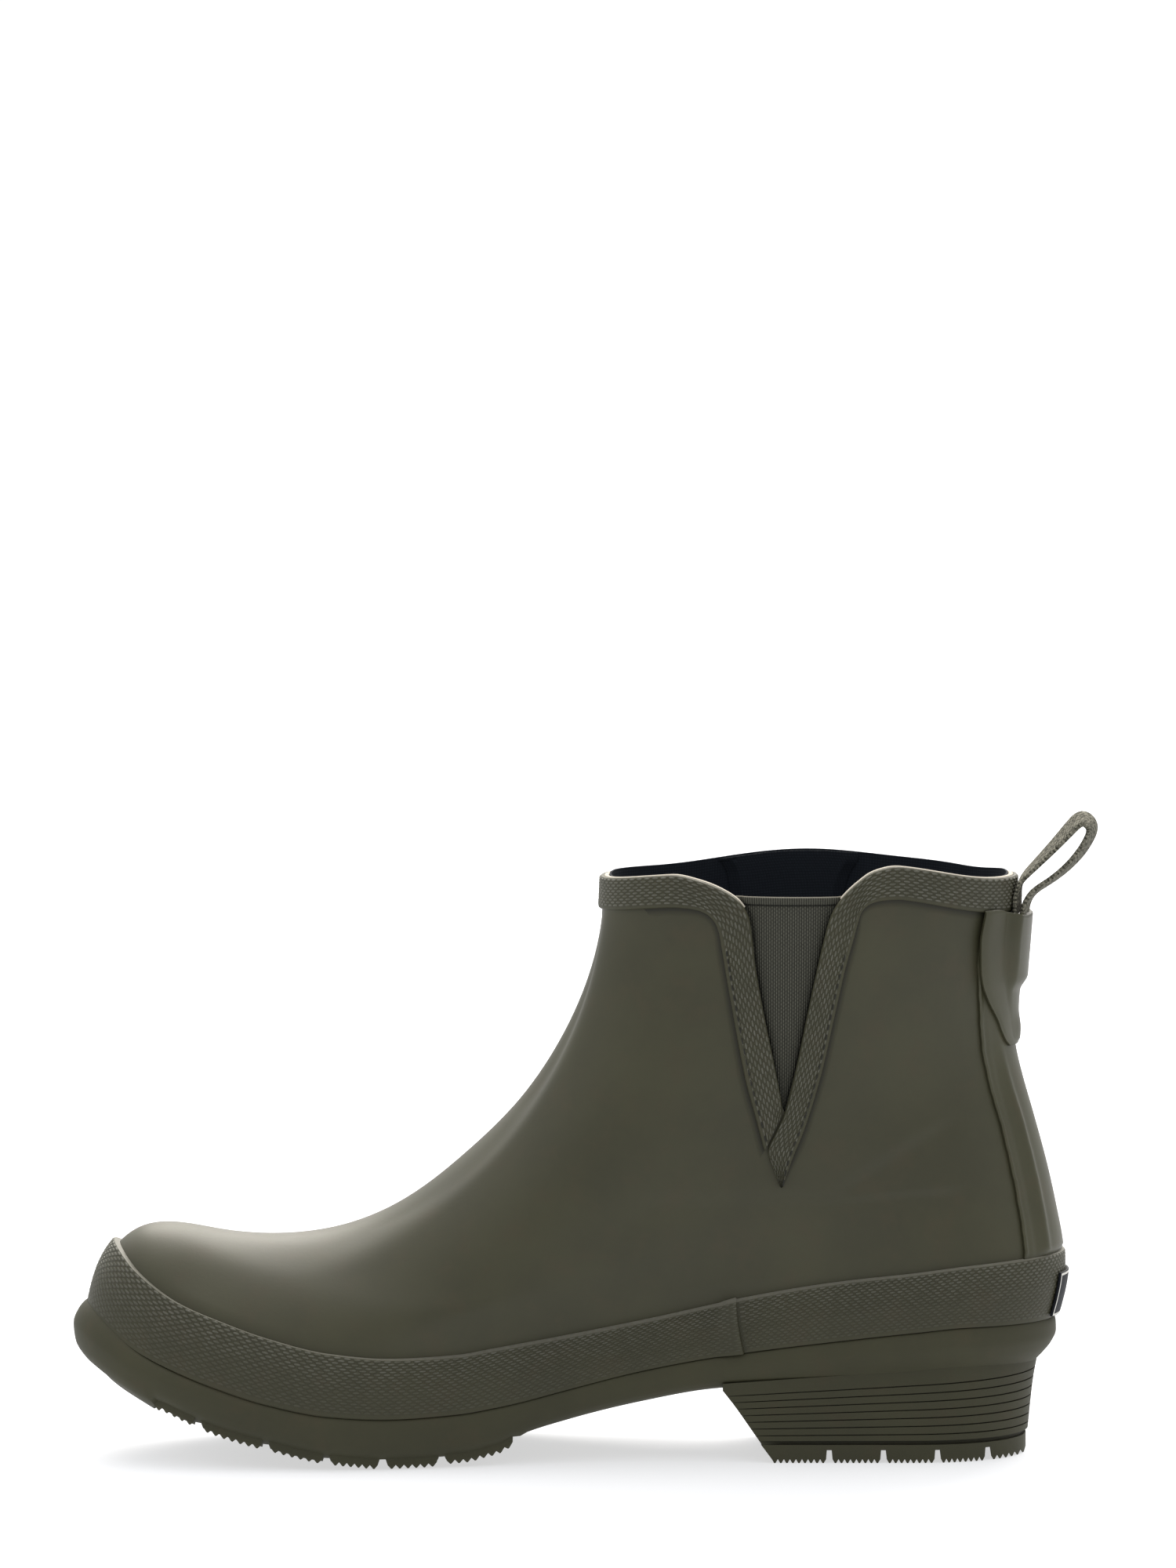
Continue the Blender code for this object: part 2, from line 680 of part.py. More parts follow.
def back_strip(rows, count, across):
    """angle, fall and row places of a strip down the back, from its near edge to its far edge."""
    top_down = rows[::-1]
    z = np.linspace(rows[0].z, rows[-1].z, count)
    edge = monotone(column(top_down, "z"), column(top_down, "edge_x"))(z)
    edge_angle, _ = locate(edge, z, False)
    angle = edge_angle[:, None] * across
    fall = fall_where(angle, lambda x, height: height - z[:, None])
    return angle, fall, z


def value_at(rows, name, z):
    top_down = rows[::-1]
    return monotone(column(top_down, "z"), column(top_down, name))(z)


def build_upper(look):
    angle = np.linspace(0, 2 * math.pi, ANGLE_STEPS, endpoint=False)
    fall = np.concatenate([np.linspace(0, 0.6, 10), UPPER_TOE_FALLS])
    angle, fall = np.meshgrid(angle, fall, indexing="ij")
    upper = shell("upper", angle, fall, -WALL, 0.0, look, loop=True, on_feather=True)
    cut(upper, [v_cutter("v_cut_inner", False), v_cutter("v_cut_outer", True)])


def build_foxing(look):
    angle = np.linspace(0, 2 * math.pi, ANGLE_STEPS, endpoint=False)
    lap_x = column(LAP, "x")
    lap_angle, _ = locate(lap_x, feather_z(lap_x) + 10, False)
    angle = np.sort(np.concatenate([angle, lap_angle]))
    lap = np.interp(angle, lap_angle, column(LAP, "rise"))
    top = fall_where(angle, lambda x, z: z - foxing_top_z(x))
    share = np.array([0, 0.06, 0.28, 0.5, 0.72, 0.92, 1])
    rise = np.array([-0.8, 0, 0.1, 0.1, 0.1, 0, -0.5])
    fall = top[:, None] + (1 - top)[:, None] * share
    outer = FOXING_OUT + lap[:, None] + rise
    angle = angle[:, None] + np.zeros((1, len(share)))
    shell("foxing", angle, fall, GAP, outer, look, loop=True, on_feather=True)


def build_stay(look):
    across = np.array([1, 0.85, 0.6, 0.34, 0.1, -0.1, -0.34, -0.6, -0.85, -1])
    shape = np.array([-0.3, 0, 0, 0, 1, 1, 0, 0, 0, -0.3])
    angle, fall, z = back_strip(BACK_STAY, 14, across)
    last = fall_where(angle[-1], lambda x, height: height - foxing_top_z(x) - 0.7)
    fall[-1] = last
    ridge = value_at(BACK_STAY, "ridge", z)[:, None]
    outer = STAY_OUT + np.where(shape < 0, shape, ridge * shape)
    shell("back_stay", angle, fall, STAY_GAP, outer, look)


def build_tab(look):
    across = np.array([1, 0.9, 0.5, 0.42, 0.15, -0.15, -0.42, -0.5, -0.9, -1])
    angle, fall, z = back_strip(LOOP_TAB, 12, across)
    side = value_at(LOOP_TAB, "side", z)
    pocket = value_at(LOOP_TAB, "pocket", z)
    middle = value_at(LOOP_TAB, "middle", z)
    half = np.stack([side - 0.4, side, side, pocket, middle], axis=1)
    outer = np.concatenate([half, half[:, ::-1]], axis=1)
    base = STAY_OUT + 1.4 * GAP + value_at(BACK_STAY, "ridge", z)[:, None]
    outer = np.maximum(outer, base + TAB_LEAST)
    inner = base + np.zeros(outer.shape)
    shell("loop_tab", angle, fall, inner, outer, look)


def build_label(look):
    z = np.linspace(LABEL_TOP, LABEL_BOTTOM, 4)
    angle = np.zeros((4, 1)) + np.linspace(LABEL_HALF_ANGLE, -LABEL_HALF_ANGLE, 9)
    fall = fall_where(angle, lambda x, height: height - z[:, None])
    shell("heel_label", angle, fall, FOXING_OUT + GAP + 0.1, LABEL_OUT, look)


def plan_loop(offset):
    """Feather edge moved outwards in plan by an offset that may vary round the boot."""
    angle = np.linspace(0, 2 * math.pi, ANGLE_STEPS, endpoint=False)
    edge = skin(angle, np.ones(angle.shape))[:, :2]
    h = 2e-3
    along = skin(angle + h, np.ones(angle.shape)) - skin(angle - h, np.ones(angle.shape))
    out = np.stack([along[:, 1], -along[:, 0]], axis=1)
    out = out / np.linalg.norm(out, axis=1, keepdims=True)
    if np.dot(out[0], [1, 0]) < 0:
        out = -out
    return edge + out * np.broadcast_to(offset, angle.shape)[:, None], angle


def stack_loops(name, loops, look, top_cover, base_cover):
    """Solid from closed loops stacked from the top down, with ruled covers across both ends."""
    count = len(loops[0])
    points = np.concatenate(loops)
    faces = []
    for level in range(len(loops) - 1):
        for i in range(count):
            j = (i + 1) % count
            a, b = level * count + i, level * count + j
            faces.append((a, b, b + count, a + count))
    for start, wanted in ((0, top_cover), ((len(loops) - 1) * count, base_cover)):
        if wanted:
            faces += cross_faces(count, start)
    return add_object(name, points, faces, look)


def cross_faces(count, start):
    """Faces across a loop between points at the same length on both of its sides."""
    half = count // 2
    faces = [(start, start + 1, start + count - 1)]
    for i in range(1, half - 1):
        faces.append((start + i, start + i + 1, start + count - i - 1, start + count - i))
    faces.append((start + half - 1, start + half, start + half + 1))
    return faces


def build_outsole(look):
    angle = np.linspace(0, 2 * math.pi, ANGLE_STEPS, endpoint=False)
    toe = np.clip(-np.cos(angle), 0, 1) ** 8
    seat = np.clip((np.cos(angle) - 0.25) / 0.6, 0, 1)
    seat = seat * seat * (3 - 2 * seat)
    loops = []
    base, _ = plan_loop(offset_of(OUTSOLE_SIDE[-1], toe, seat))
    crown = UNDERSIDE_CROWN * (1 - seat)
    base_z = underside_z(base[:, 0]) + crown
    for row in OUTSOLE_SIDE:
        plan, _ = plan_loop(offset_of(row, toe, seat))
        top_z = feather_z(plan[:, 0]) - GAP
        top_z = np.where(row.share > 0, loops[0][:, 2] if loops else top_z, top_z)
        z = top_z + (base_z - top_z) * row.share
        loops.append(np.column_stack([plan, z]))
    middle = np.column_stack([base[:, 0], base[:, 1] * 0.8, underside_z(base[:, 0])])
    loops.append(middle)
    outsole = stack_loops("outsole", loops, look, True, True)
    tools = []
    for number, x in enumerate(SLOT_X):
        deep = float(underside_z(x)) + SLOT_DEEP
        half = SLOT_WIDE / 2
        outline = [(x - half, -5), (x + half, -5), (x + half, deep), (x - half, deep)]
        tools.append(prism(f"slot_{number + 1}", outline, -80, 80))
    cut(outsole, tools)


def offset_of(row, toe, seat):
    return row.side * (1 - toe - seat) + row.toe * toe + row.seat * seat


def heel_loop(share, inset=0.0):
    """Outline of the heel at a height share: straight breast, round back."""
    shares = column(HEEL, "share")
    breast = float(monotone(shares, column(HEEL, "breast_x"))(share)) + inset
    back = float(monotone(shares, column(HEEL, "back_x"))(share)) - inset
    half = float(monotone(shares, column(HEEL, "half_width"))(share)) - inset
    bend = np.linspace(-math.pi / 2, math.pi / 2, 15)
    curve_x = back - HEEL_BACK_LONG + HEEL_BACK_LONG * np.abs(np.cos(bend)) ** 0.85
    curve_y = half * np.sin(bend)
    side_x = np.linspace(breast, back - HEEL_BACK_LONG, 4)[:-1]
    breast_y = np.linspace(half, -half, 7)[1:-1]
    x = np.concatenate([side_x, curve_x, side_x[::-1], np.full(5, breast)])
    y = np.concatenate([np.full(3, -half), curve_y, np.full(3, half), breast_y])
    return x, y


def heel_z(x, share):
    run = (x - HEEL[0].breast_x) / (HEEL[0].back_x - HEEL[0].breast_x)
    seat = HEEL_SEAT_FRONT_Z + (HEEL_SEAT_BACK_Z - HEEL_SEAT_FRONT_Z) * run
    return seat, seat * (1 - share) + (LIFT_TOP + GAP) * share


def fan_solid(name, loops, look):
    """Solid from stacked loops closed by a flat face at both ends."""
    count = len(loops[0])
    points = np.concatenate(loops)
    faces = [tuple(range(count))]
    for level in range(len(loops) - 1):
        for i in range(count):
            a = level * count + i
            b = level * count + (i + 1) % count
            faces.append((a, b, b + count, a + count))
    faces.append(tuple(range((len(loops) - 1) * count, len(loops) * count)))
    return add_object(name, points, faces, look)


def build_heel(look, lift_look):
    steps = [(0.0, 0.0)]
    lift_share = 1 - (LIFT_TOP + GAP) / HEEL_TALL
    tall = HEEL_GROOVE_TALL / (HEEL_TALL * lift_share)
    for i in range(HEEL_GROOVES):
        share = HEEL_GROOVE_FIRST + HEEL_GROOVE_STEP * i
        steps += [(share - tall / 2, 0.0), (share, HEEL_GROOVE_DEEP), (share + tall / 2, 0.0)]
    steps.append((1.0, 0.0))
    loops = []
    for share, inset in steps:
        x, y = heel_loop(share * lift_share, inset)
        _, z = heel_z(x, share)
        loops.append(np.column_stack([x, y, z]))
    fan_solid("heel_block", loops, look)
    loops = []
    for z, inset in ((LIFT_TOP, 0.5), (LIFT_TOP - 0.6, 0.0), (0.5, 0.0), (0.0, 0.5)):
        x, y = heel_loop(1 - z / HEEL_TALL, inset)
        loops.append(np.column_stack([x, y, np.full(len(x), z)]))
    lift = fan_solid("heel_top_lift", loops, lift_look)
    tools = []
    for number, x in enumerate(LIFT_SLOT_X):
        half = LIFT_SLOT_WIDE / 2
        top = LIFT_SLOT_DEEP
        outline = [(x - half, -5), (x + half, -5), (x + half, top), (x - half, top)]
        tools.append(prism(f"lift_slot_{number + 1}", outline, -80, 80))
    cut(lift, tools)


def build_insole(look):
    low, _ = plan_loop(-WALL - INSOLE_CLEAR)
    high, _ = plan_loop(-WALL - INSOLE_CLEAR - 0.6)
    top = np.column_stack([high, feather_z(high[:, 0]) + INSOLE_THICK])
    base = np.column_stack([low, feather_z(low[:, 0]) + 0.05])
    stack_loops("insole", [top, base], look, True, True)


def build_loop(look):
    """Webbing strap along its middle line."""
    x = column(PULL_LOOP, "x")
    z = column(PULL_LOOP, "z")
    run = np.concatenate([[0], np.cumsum(np.hypot(np.diff(x), np.diff(z)))])
    along = np.linspace(0, run[-1], 34)
    line = np.column_stack([natural(run, x)(along), natural(run, z)(along)])
    step = np.gradient(line, axis=0)
    step = step / np.linalg.norm(step, axis=1, keepdims=True)
    side = np.column_stack([-step[:, 1], step[:, 0]]) * LOOP_THICK / 2
    half = LOOP_WIDTH / 2
    faces = []
    for way in (1, -1):
        edge = line + way * side
        near = np.column_stack([edge[:, 0], np.full(len(edge), -half), edge[:, 1]])
        far = np.column_stack([edge[:, 0], np.full(len(edge), half), edge[:, 1]])
        faces.append(np.stack([near, far], axis=1))
    slab("pull_loop", faces[0], faces[1], look)


def settle():
    """Moves all pieces and cutters so that the middle of the length and width is at 0."""
    corners = [vert.co for obj in boot.objects for vert in obj.data.vertices]
    low = np.min(corners, axis=0)
    high = np.max(corners, axis=0)
    move = Matrix.Translation((-(low[0] + high[0]) / 2, -(low[1] + high[1]) / 2, -low[2]))
    for obj in list(boot.objects) + list(cutters.objects):
        obj.data.transform(move)


for item in list(bpy.data.objects):
    bpy.data.objects.remove(item)

boot = bpy.data.collections.new("chelsea_rain_boot")
bpy.context.scene.collection.children.link(boot)
cutters = bpy.data.collections.new("cutters")
bpy.context.scene.collection.children.link(cutters)

OLIVE = (0.058, 0.058, 0.040)
DARK_OLIVE = (0.043, 0.044, 0.031)
upper_rubber = rubber("upper_rubber", OLIVE, 0.55)
foxing_rubber = rubber("foxing_rubber", (0.050, 0.050, 0.036), 0.65)
sole_rubber = rubber("sole_rubber", (0.052, 0.054, 0.041), 0.6)
heel_rubber = rubber("heel_rubber", DARK_OLIVE, 0.65)
tape = rubber("binding_tape", (0.070, 0.071, 0.056), 0.7)
elastic = rubber("elastic", (0.046, 0.047, 0.038), 0.9)
webbing = rubber("webbing", (0.150, 0.148, 0.120), 0.85)
plate = rubber("label_plate", (0.012, 0.014, 0.018), 0.4)
foam = rubber("insole_fabric", (0.012, 0.015, 0.020), 0.95)

build_upper(upper_rubber)
build_outsole(sole_rubber)
build_insole(foam)
build_foxing(foxing_rubber)
binding("collar_binding_front", FRONT_LEG, math.pi, tape)
binding("collar_binding_back", BACK_LEG, 0, tape)
gore("gore_inner", False, elastic)
gore("gore_outer", True, elastic)
build_stay(upper_rubber)
build_tab(upper_rubber)
build_label(plate)
build_heel(heel_rubber, heel_rubber)
build_loop(webbing)
settle()
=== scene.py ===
import math
from types import SimpleNamespace

import bpy
import numpy as np
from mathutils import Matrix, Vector


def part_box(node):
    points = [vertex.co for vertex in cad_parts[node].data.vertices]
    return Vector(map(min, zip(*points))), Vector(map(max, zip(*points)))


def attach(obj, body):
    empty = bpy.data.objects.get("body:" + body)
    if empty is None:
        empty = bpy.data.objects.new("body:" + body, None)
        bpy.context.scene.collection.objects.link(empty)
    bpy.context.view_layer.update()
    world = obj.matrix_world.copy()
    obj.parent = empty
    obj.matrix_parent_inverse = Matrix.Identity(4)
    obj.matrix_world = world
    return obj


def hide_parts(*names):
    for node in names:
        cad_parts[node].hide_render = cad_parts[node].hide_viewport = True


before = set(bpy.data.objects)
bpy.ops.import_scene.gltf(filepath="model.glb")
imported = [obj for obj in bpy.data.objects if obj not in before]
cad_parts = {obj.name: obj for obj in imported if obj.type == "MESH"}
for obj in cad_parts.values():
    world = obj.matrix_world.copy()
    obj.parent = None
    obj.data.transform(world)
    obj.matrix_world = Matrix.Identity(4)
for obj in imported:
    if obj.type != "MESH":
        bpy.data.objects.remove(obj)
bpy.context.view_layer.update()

MM = 0.001

# Sizes are in millimetres, and shares, powers and counts are plain numbers
# Upper: wall, lining, soft turns of the sections, troughs in the quarter
WALL = 2.0
LINING = 0.5
SOFT_TURN = 0.55
TURN_POWER = 2.25
BEND_POWER = 1.5
TROUGH_DEEP = 0.8
TROUGH_EDGE = 2.2
TROUGH_FADE = 9.0
TROUGH_END = 10.0
# Where the sides of the vamp are evened out: above the foxing, below the front line, and along x
EVEN_ROUNDS = 160
EVEN_ABOVE = (3, 9)
EVEN_BELOW = (2, 12)
EVEN_TOE = (-120, -100)
EVEN_SHAFT = (20, -5)
# Lining: gap to the wall, first and last fall, edge above the rim on the near and the far side,
# and the strip that stays over the outer V
LINING_GAP = 0.05
LINING_FALL = (0.004, 0.985)
LINING_RIM = (0.1, 0.9)
LINING_TURN = 16.0
LINING_STRIP = 0.5
# V cut-outs and the elastic behind them
V_TIP = 67.5
V_REACH = (5.0, 70.0)
ABOVE_COLLAR = 190.0
GORE_TOP = 7.0
GORE_TAIL = 3.0
GORE_SEAM = 3.0
GORE_MIDDLE_X = 58.0
GORE_SWELL = 1.75
GORE_BEHIND = 0.35
GORE_THICK = 0.9
GORE_RIB = 0.667
GORE_LOOP = 1.06
HEM_TALL = 2.2
HEM_OUT = 0.42
HEM_SOFT = 0.25
HEM_SEAM = 0.3
HEM_FOLD = (0.4, 0.5)
BACKING_MARGIN = 3.0
BACKING_BEHIND = 1.5
BACKING_SLOPE = 1.35
BACKING_RIM = (-0.4, 0.6)
BACKING_THICK = 0.3
# Studded strips: their studs, the studded band as shares of the width, then share and height of the edges
FOXING = SimpleNamespace(
    half_pitch=1.25, tall=18.0, rows=20, start=0.045, wide=0.9, out=1.9, relief=0.3,
    lead=[(-0.009, 0.04), (0, 0.5), (0.009, 1.3), (0.02, 1.8)],
    tail=[(0.962, 1.9), (0.986, 1.82), (1, 1.5), (1, 0.05), (-0.009, 0.04)],
)
TAPE = SimpleNamespace(
    half_pitch=1.375, tall=9.2, rows=10, start=0.06, wide=0.87, out=1.3, relief=0.26,
    lead=[(0, 0.1), (0, 0.9), (0.03, 1.2)],
    tail=[(0.965, 1.2), (0.99, 0.9), (1, 0.12), (1.1, 0.09), (1.22, 0.05), (0, 0.1)],
)
STUD_GROOVE = 0.3
# Relief of a mesh: 1 on a stud, 0 in a groove, less in a corner with painted shadow; painted groove shade
# stops at GROOVE_TOP
GROOVE_TOP = 0.35
PLAIN = 0.36
# Relief along the tape's lip: below 0 for a painted shadow next to the tape's edge
LIP_SHADOW_RELIEF = (-0.5, -0.25, GROOVE_TOP)
# Pitch of the foxing's studs at the toe and at the heel, and where it changes
FOXING_PITCH = (2.8, 2.2)
FOXING_PITCH_X = (-60, 60)
# Lap of the foxing's ends at the inner waist: its place, slant, lifted corner and worn studs
LAP_END = 42.8
LAP_STEP = 0.5
LAP_SLANT = 7.7
LAP_LONG = 24.0
LAP_CORNER = 4.8
LAP_CORNER_RISE = 0.035
LAP_SINK = 0.35
LAP_WORN = 0.8
LAP_WORN_LONG = 5.0
# Tapes along the collar and down the legs, with their stitches and their pale turned edge
TAPE_BACK_MORE = 0.7
STITCH_AT = 0.84
STITCH_LONG = 2.0
STITCH_GAP = 0.9
STITCH_HALF = (0.24, 0.2, STITCH_LONG / 2)
STITCH_DROP = 17.0
STITCH_LIFT = 0.02
EDGE_STEP = 1.0
EDGE_DROP_IN = 9.5
EDGE_DROP_OUT = 3.0
# Stay, tab, webbing and label at the back
STAY_OUT = 1.4
STAY_WAVER = 0.05
STAY_THIN = 0.55
STAY_EDGE = 0.45
STAY_TUCK = 0.7
STAY_SINK = 0.1
STAY_BACK = 0.05
# Beads and ribs of the stay: height, place and half width as shares of its half width
STAY_BEAD = [(0.22, 0.975, 0.018), (-0.08, 0.925, 0.03)]
STAY_RIBS = [(0.9, 0.66, 0.06), (-0.55, 0.83, 0.055)]
STAY_RIDGE = 0.9
STAY_SHOULDER = (0.82, 0.62)
TAB_FLARE = 2.3
TAB_FLARE_FROM = 140.0
TAB_FLARE_SHARE = (0.35, 0.85)
TAB_TOP = 153.9
TAB_TIP = 116.2
TAB_ROUND = 0.8
TAB_ROUND_DEEP = 0.5
TAB_EDGE = (0.15, 0.5)
TAB_BASE = 0.3
TAB_LEAST = 0.4
TAB_SINK = 0.35
WEBBING_HALF_WIDE = 5.0
WEBBING_HALF_THICK = 0.8
WEBBING_ROUND = (0.45, 0.6)
WEBBING_RIB = 1.25
WEBBING_TWILL = 1.1
WEBBING_SLANT = 2.2
LABEL_OUT = 3.1
LABEL_HALF_ANGLE = 0.182
LABEL_TOP = 52.2
LABEL_BOTTOM = 40.2
LABEL_THICK = 0.9
LABEL_BEVEL = 0.25
# Heel and its top lift
LIFT_TOP = 5.3
LIFT_EDGE = 0.6
LIFT_GAP = 0.3
LIFT_LEAN = 3.0
LIFT_PITCH = 1.63
LIFT_FLANK = 0.21
LIFT_SLOTS = (68.7, 84.0, 99.3, 113.6)
LIFT_SLOT_WIDE = 1.8
LIFT_SLOT_TAPER = 0.2
LIFT_SLOT_DEEP = 3.7
LIFT_GROOVE_DEEP = 1.3
LIFT_GROOVE = (0.955, 0.968, 1.03)
HEEL_TALL = 23.0
HEEL_BACK_LONG = 34.0
HEEL_ROUND = 0.85
HEEL_REACH = 0.7
HEEL_SEAT = (20.4, 26.1)
HEEL_GROOVES = 7
HEEL_GROOVE_FIRST = 0.11
HEEL_GROOVE_STEP = 0.125
HEEL_GROOVE_TALL = 0.5
HEEL_GROOVE_DEEP = 0.6
HEEL_GROOVE_HALF = (0.33, 0.15)
HEEL_IN_SEAT = -0.13
# Where a heel groove starts and is full, behind the breast
HEEL_GROOVE_RUN = (0.5, 2.5)
# The lift follows the heel's outline at this level, a little inside it
LIFT_LEVEL = 0.95
LIFT_SET_BACK = 0.2
LIFT_SHORT = 0.05
LIFT_LOW = 0.1
# Sole unit: gap under the feather edge, rise of its lower edge, and its base over the tread
SOLE_GAP = 0.15
SOLE_TUCK = 0.2
SOLE_EDGE_RISE = 1.4
SOLE_BASE_UP = 0.2
SOLE_BASE_WIDE = 0.8
SOLE_REACH = 80.0
# Turn of the sole's side into its toe bumper and its heel seat
SOLE_TOE_POWER = 8
SOLE_SEAT_TURN = (0.25, 0.85)
# Tread of the forefoot
TREAD_FROM = -121.5
TREAD_TO = -20.6
TREAD_TALL = 3.6
TREAD_PITCH = 2.36
TREAD_OUT = 0.25
TREAD_FLAT = 0.6
TOOTH_DEEP = 1.15
TOOTH_TIP = 0.18
TOOTH_FLANK = 0.7
SLOTS = (-109.2, -90.1, -73.0, -57.2, -40.6)
SLOT_WIDE = 2.8
SLOT_TAPER = 0.6
SLOT_DEEP = 3.0
SLOT_BELOW = 2.0
SLOT_FLARE = 0.4

# Colours
OLIVE = (0.0395, 0.0385, 0.0190)
# Painted highlight on the crests of the studs
STUD_HIGHLIGHT = (0.108, 0.107, 0.086, 1)
# Painted highlight along the top edge of the foxing
RIM_HIGHLIGHT = (0.150, 0.146, 0.118, 1)
WARM_LIGHT = (1.0, 0.95, 0.885)

# Front line of the last: x, z, depth at which the section has its full width
FRONT_LINE = np.array([
    (5.2, 163.8, 58.0), (4.5, 152.0, 58.0), (0.3, 134.0, 58.0), (-7.9, 116.0, 57.0),
    (-20.3, 98.3, 55.0), (-34.1, 84.8, 53.0), (-50.5, 72.2, 50.0), (-65.4, 65.3, 47.0),
    (-77.9, 62.6, 45.0), (-90.3, 62.0, 43.0), (-103.0, 63.2, 41.0), (-115.9, 65.3, 40.0),
    (-125.4, 64.3, 40.0), (-132.4, 59.4, 40.0), (-136.8, 52.0, 40.0), (-139.4, 42.4, 40.0),
])
# Line ahead of the vamp: z, x
AHEAD = np.array([
    (65.3, -115.9), (67.5, -103.0), (71.0, -84.0), (76.0, -63.0), (82.0, -46.0), (90.0, -31.0),
    (98.3, -20.3),
])
# Back line of the last: x, z, share of the length at which the section has its full width
BACK_LINE = np.array([
    (120.8, 164.3, 0.50), (120.4, 150.0, 0.46), (119.8, 135.0, 0.42), (119.7, 120.0, 0.37),
    (121.8, 107.3, 0.33), (125.4, 93.8, 0.27), (129.0, 80.4, 0.22), (132.0, 67.0, 0.175),
    (133.9, 54.0, 0.14), (131.0, 39.0, 0.12),
])
# Collar: x, height inside, height outside
COLLAR = np.array([
    (5.2, 163.8, 163.8), (24.0, 166.9, 163.3), (44.0, 167.8, 165.3), (64.0, 169.2, 166.6),
    (88.0, 169.9, 164.9), (104.5, 166.7, 163.7), (113.0, 165.1, 163.2), (120.8, 164.3, 164.3),
])
# Sole: x, feather edge, top of the foxing, underside
SOLE = np.array([
    (-146.0, 47.0, 68.5, 30.4), (-139.3, 42.4, 65.6, 25.2), (-133.0, 37.3, 60.9, 21.1),
    (-125.9, 32.1, 53.6, 17.3), (-115.0, 27.0, 46.2, 11.8), (-103.0, 22.6, 41.3, 7.2),
    (-90.3, 18.8, 37.0, 3.8), (-72.0, 15.4, 32.8, 0.0), (-55.4, 14.5, 31.5, 0.0),
    (-36.0, 15.4, 32.3, 0.0), (-26.3, 16.8, 33.8, 3.6), (-20.0, 18.0, 34.8, 7.2),
    (-6.0, 21.4, 37.1, 11.6), (15.0, 26.4, 41.0, 16.6), (36.0, 30.3, 45.4, 20.3),
    (70.8, 35.0, 52.0, 22.6), (92.8, 37.5, 54.5, 24.0), (107.4, 38.8, 56.2, 24.9),
    (131.0, 39.0, 57.6, 26.4), (137.0, 38.6, 57.8, 26.8),
])
# How far the edge of the sole lies above the middle: x, lift
EDGE_LIFT = np.array([
    (-146.0, 0.0), (-126.0, 0.0), (-117.0, 1.8), (-100.0, 1.6), (-78.0, 1.9), (-66.0, 0.9),
    (-58.0, 0.2), (-46.0, 0.3), (-36.0, 1.2), (-30.0, 0.3), (-22.0, -1.4), (-16.0, -0.4), (0.0, 0.0),
])
# Half widths: share of the foot, then inside and outside at the feather, low, middle and top
WIDTHS = np.array([
    (0.00, 30.0, 30.0, 32.0, 32.0, 31.0, 31.0, 38.0, 38.0),
    (0.12, 30.5, 30.5, 32.4, 32.4, 32.0, 32.0, 38.0, 38.0),
    (0.30, 28.5, 31.5, 31.6, 33.5, 33.2, 33.6, 38.0, 38.0),
    (0.45, 29.0, 34.5, 32.4, 36.0, 34.0, 35.0, 38.0, 38.0),
    (0.60, 36.5, 40.5, 37.0, 40.8, 35.0, 36.5, 38.0, 38.0),
    (0.72, 42.5, 44.5, 42.3, 44.3, 36.4, 38.0, 38.0, 38.0),
    (0.84, 41.0, 42.0, 41.8, 42.8, 39.4, 40.4, 38.0, 38.0),
    (0.93, 37.0, 37.5, 38.2, 38.8, 40.0, 40.5, 38.0, 38.0),
    (1.00, 33.0, 33.0, 34.5, 34.5, 39.5, 39.5, 38.0, 38.0),
])
WIDTH_FALLS = np.array([1.0, 0.85, 0.5, 0.0])
CENTRE_BEND = np.array([(0.0, 0.0), (0.35, 0.8), (0.65, 0.0), (1.0, -5.0)])
# Legs of the V: free edge x and drop, edge on the upper x and drop
FRONT_LEG = np.array([
    (24.0, 0.0, 24.0, 9.2), (32.0, 1.7, 31.5, 10.0), (39.0, 4.6, 35.6, 12.4),
    (43.5, 8.0, 37.4, 16.0), (45.9, 12.5, 38.2, 20.5), (47.7, 26.5, 39.4, 28.0),
    (50.1, 40.1, 41.8, 42.0), (53.0, 54.6, 44.8, 58.0), (55.0, 66.0, 47.8, 69.5),
    (55.0, 68.4, 50.1, 78.4),
])
BACK_LEG = np.array([
    (88.0, 0.0, 88.0, 9.3), (81.0, 1.5, 80.8, 10.2), (76.0, 4.7, 77.4, 12.6),
    (71.6, 8.8, 76.2, 16.2), (68.9, 12.8, 75.2, 20.0), (65.0, 27.7, 72.7, 29.2),
    (62.3, 40.2, 69.6, 43.0), (59.2, 55.2, 66.2, 58.0), (55.9, 68.0, 62.8, 69.4),
    (53.4, 73.4, 61.0, 74.6), (51.2, 78.6, 58.8, 79.8), (52.7, 83.8, 56.9, 84.6),
    (54.6, 89.0, 55.3, 89.2),
])
# Soft troughs in the quarter: x, z
COUNTER_LINE = np.array([
    (-2.0, 79.0), (16.0, 76.3), (36.0, 75.9), (67.0, 75.9), (87.0, 77.0), (110.0, 77.5),
])
QUARTER_LINE = np.array([(67.0, 75.9), (85.0, 87.0), (96.0, 93.4), (108.0, 99.4)])
# Rise of the foxing over its own end: x, rise
LAP = np.array([(36.0, 0.0), (40.0, 1.12), (43.0, 1.44), (43.4, 0.0)])
# Section of the pale edge: distance out from the upper, height above the collar
EDGE_SECTION = np.array([
    (-0.05, -0.3), (-0.05, 0.08), (-0.2, 0.22), (-0.6, 0.3), (-1.0, 0.28), (-1.3, 0.18), (-1.4, 0.0),
    (-1.4, -0.5), (-1.0, -0.4), (-0.05, -0.3),
])
# Back stay: z, near edge x, ridge
BACK_STAY = np.array([
    (59.0, 126.4, 0.5), (66.0, 125.6, 0.6), (76.0, 123.4, 0.7), (86.0, 120.6, 0.7),
    (96.0, 117.6, 0.7), (105.0, 114.6, 0.5), (118.0, 112.4, 0.1), (140.0, 111.8, 0.0),
    (154.0, 111.2, 0.0),
])
STAY_FOOT = [58.2, 57.4, 56.0]
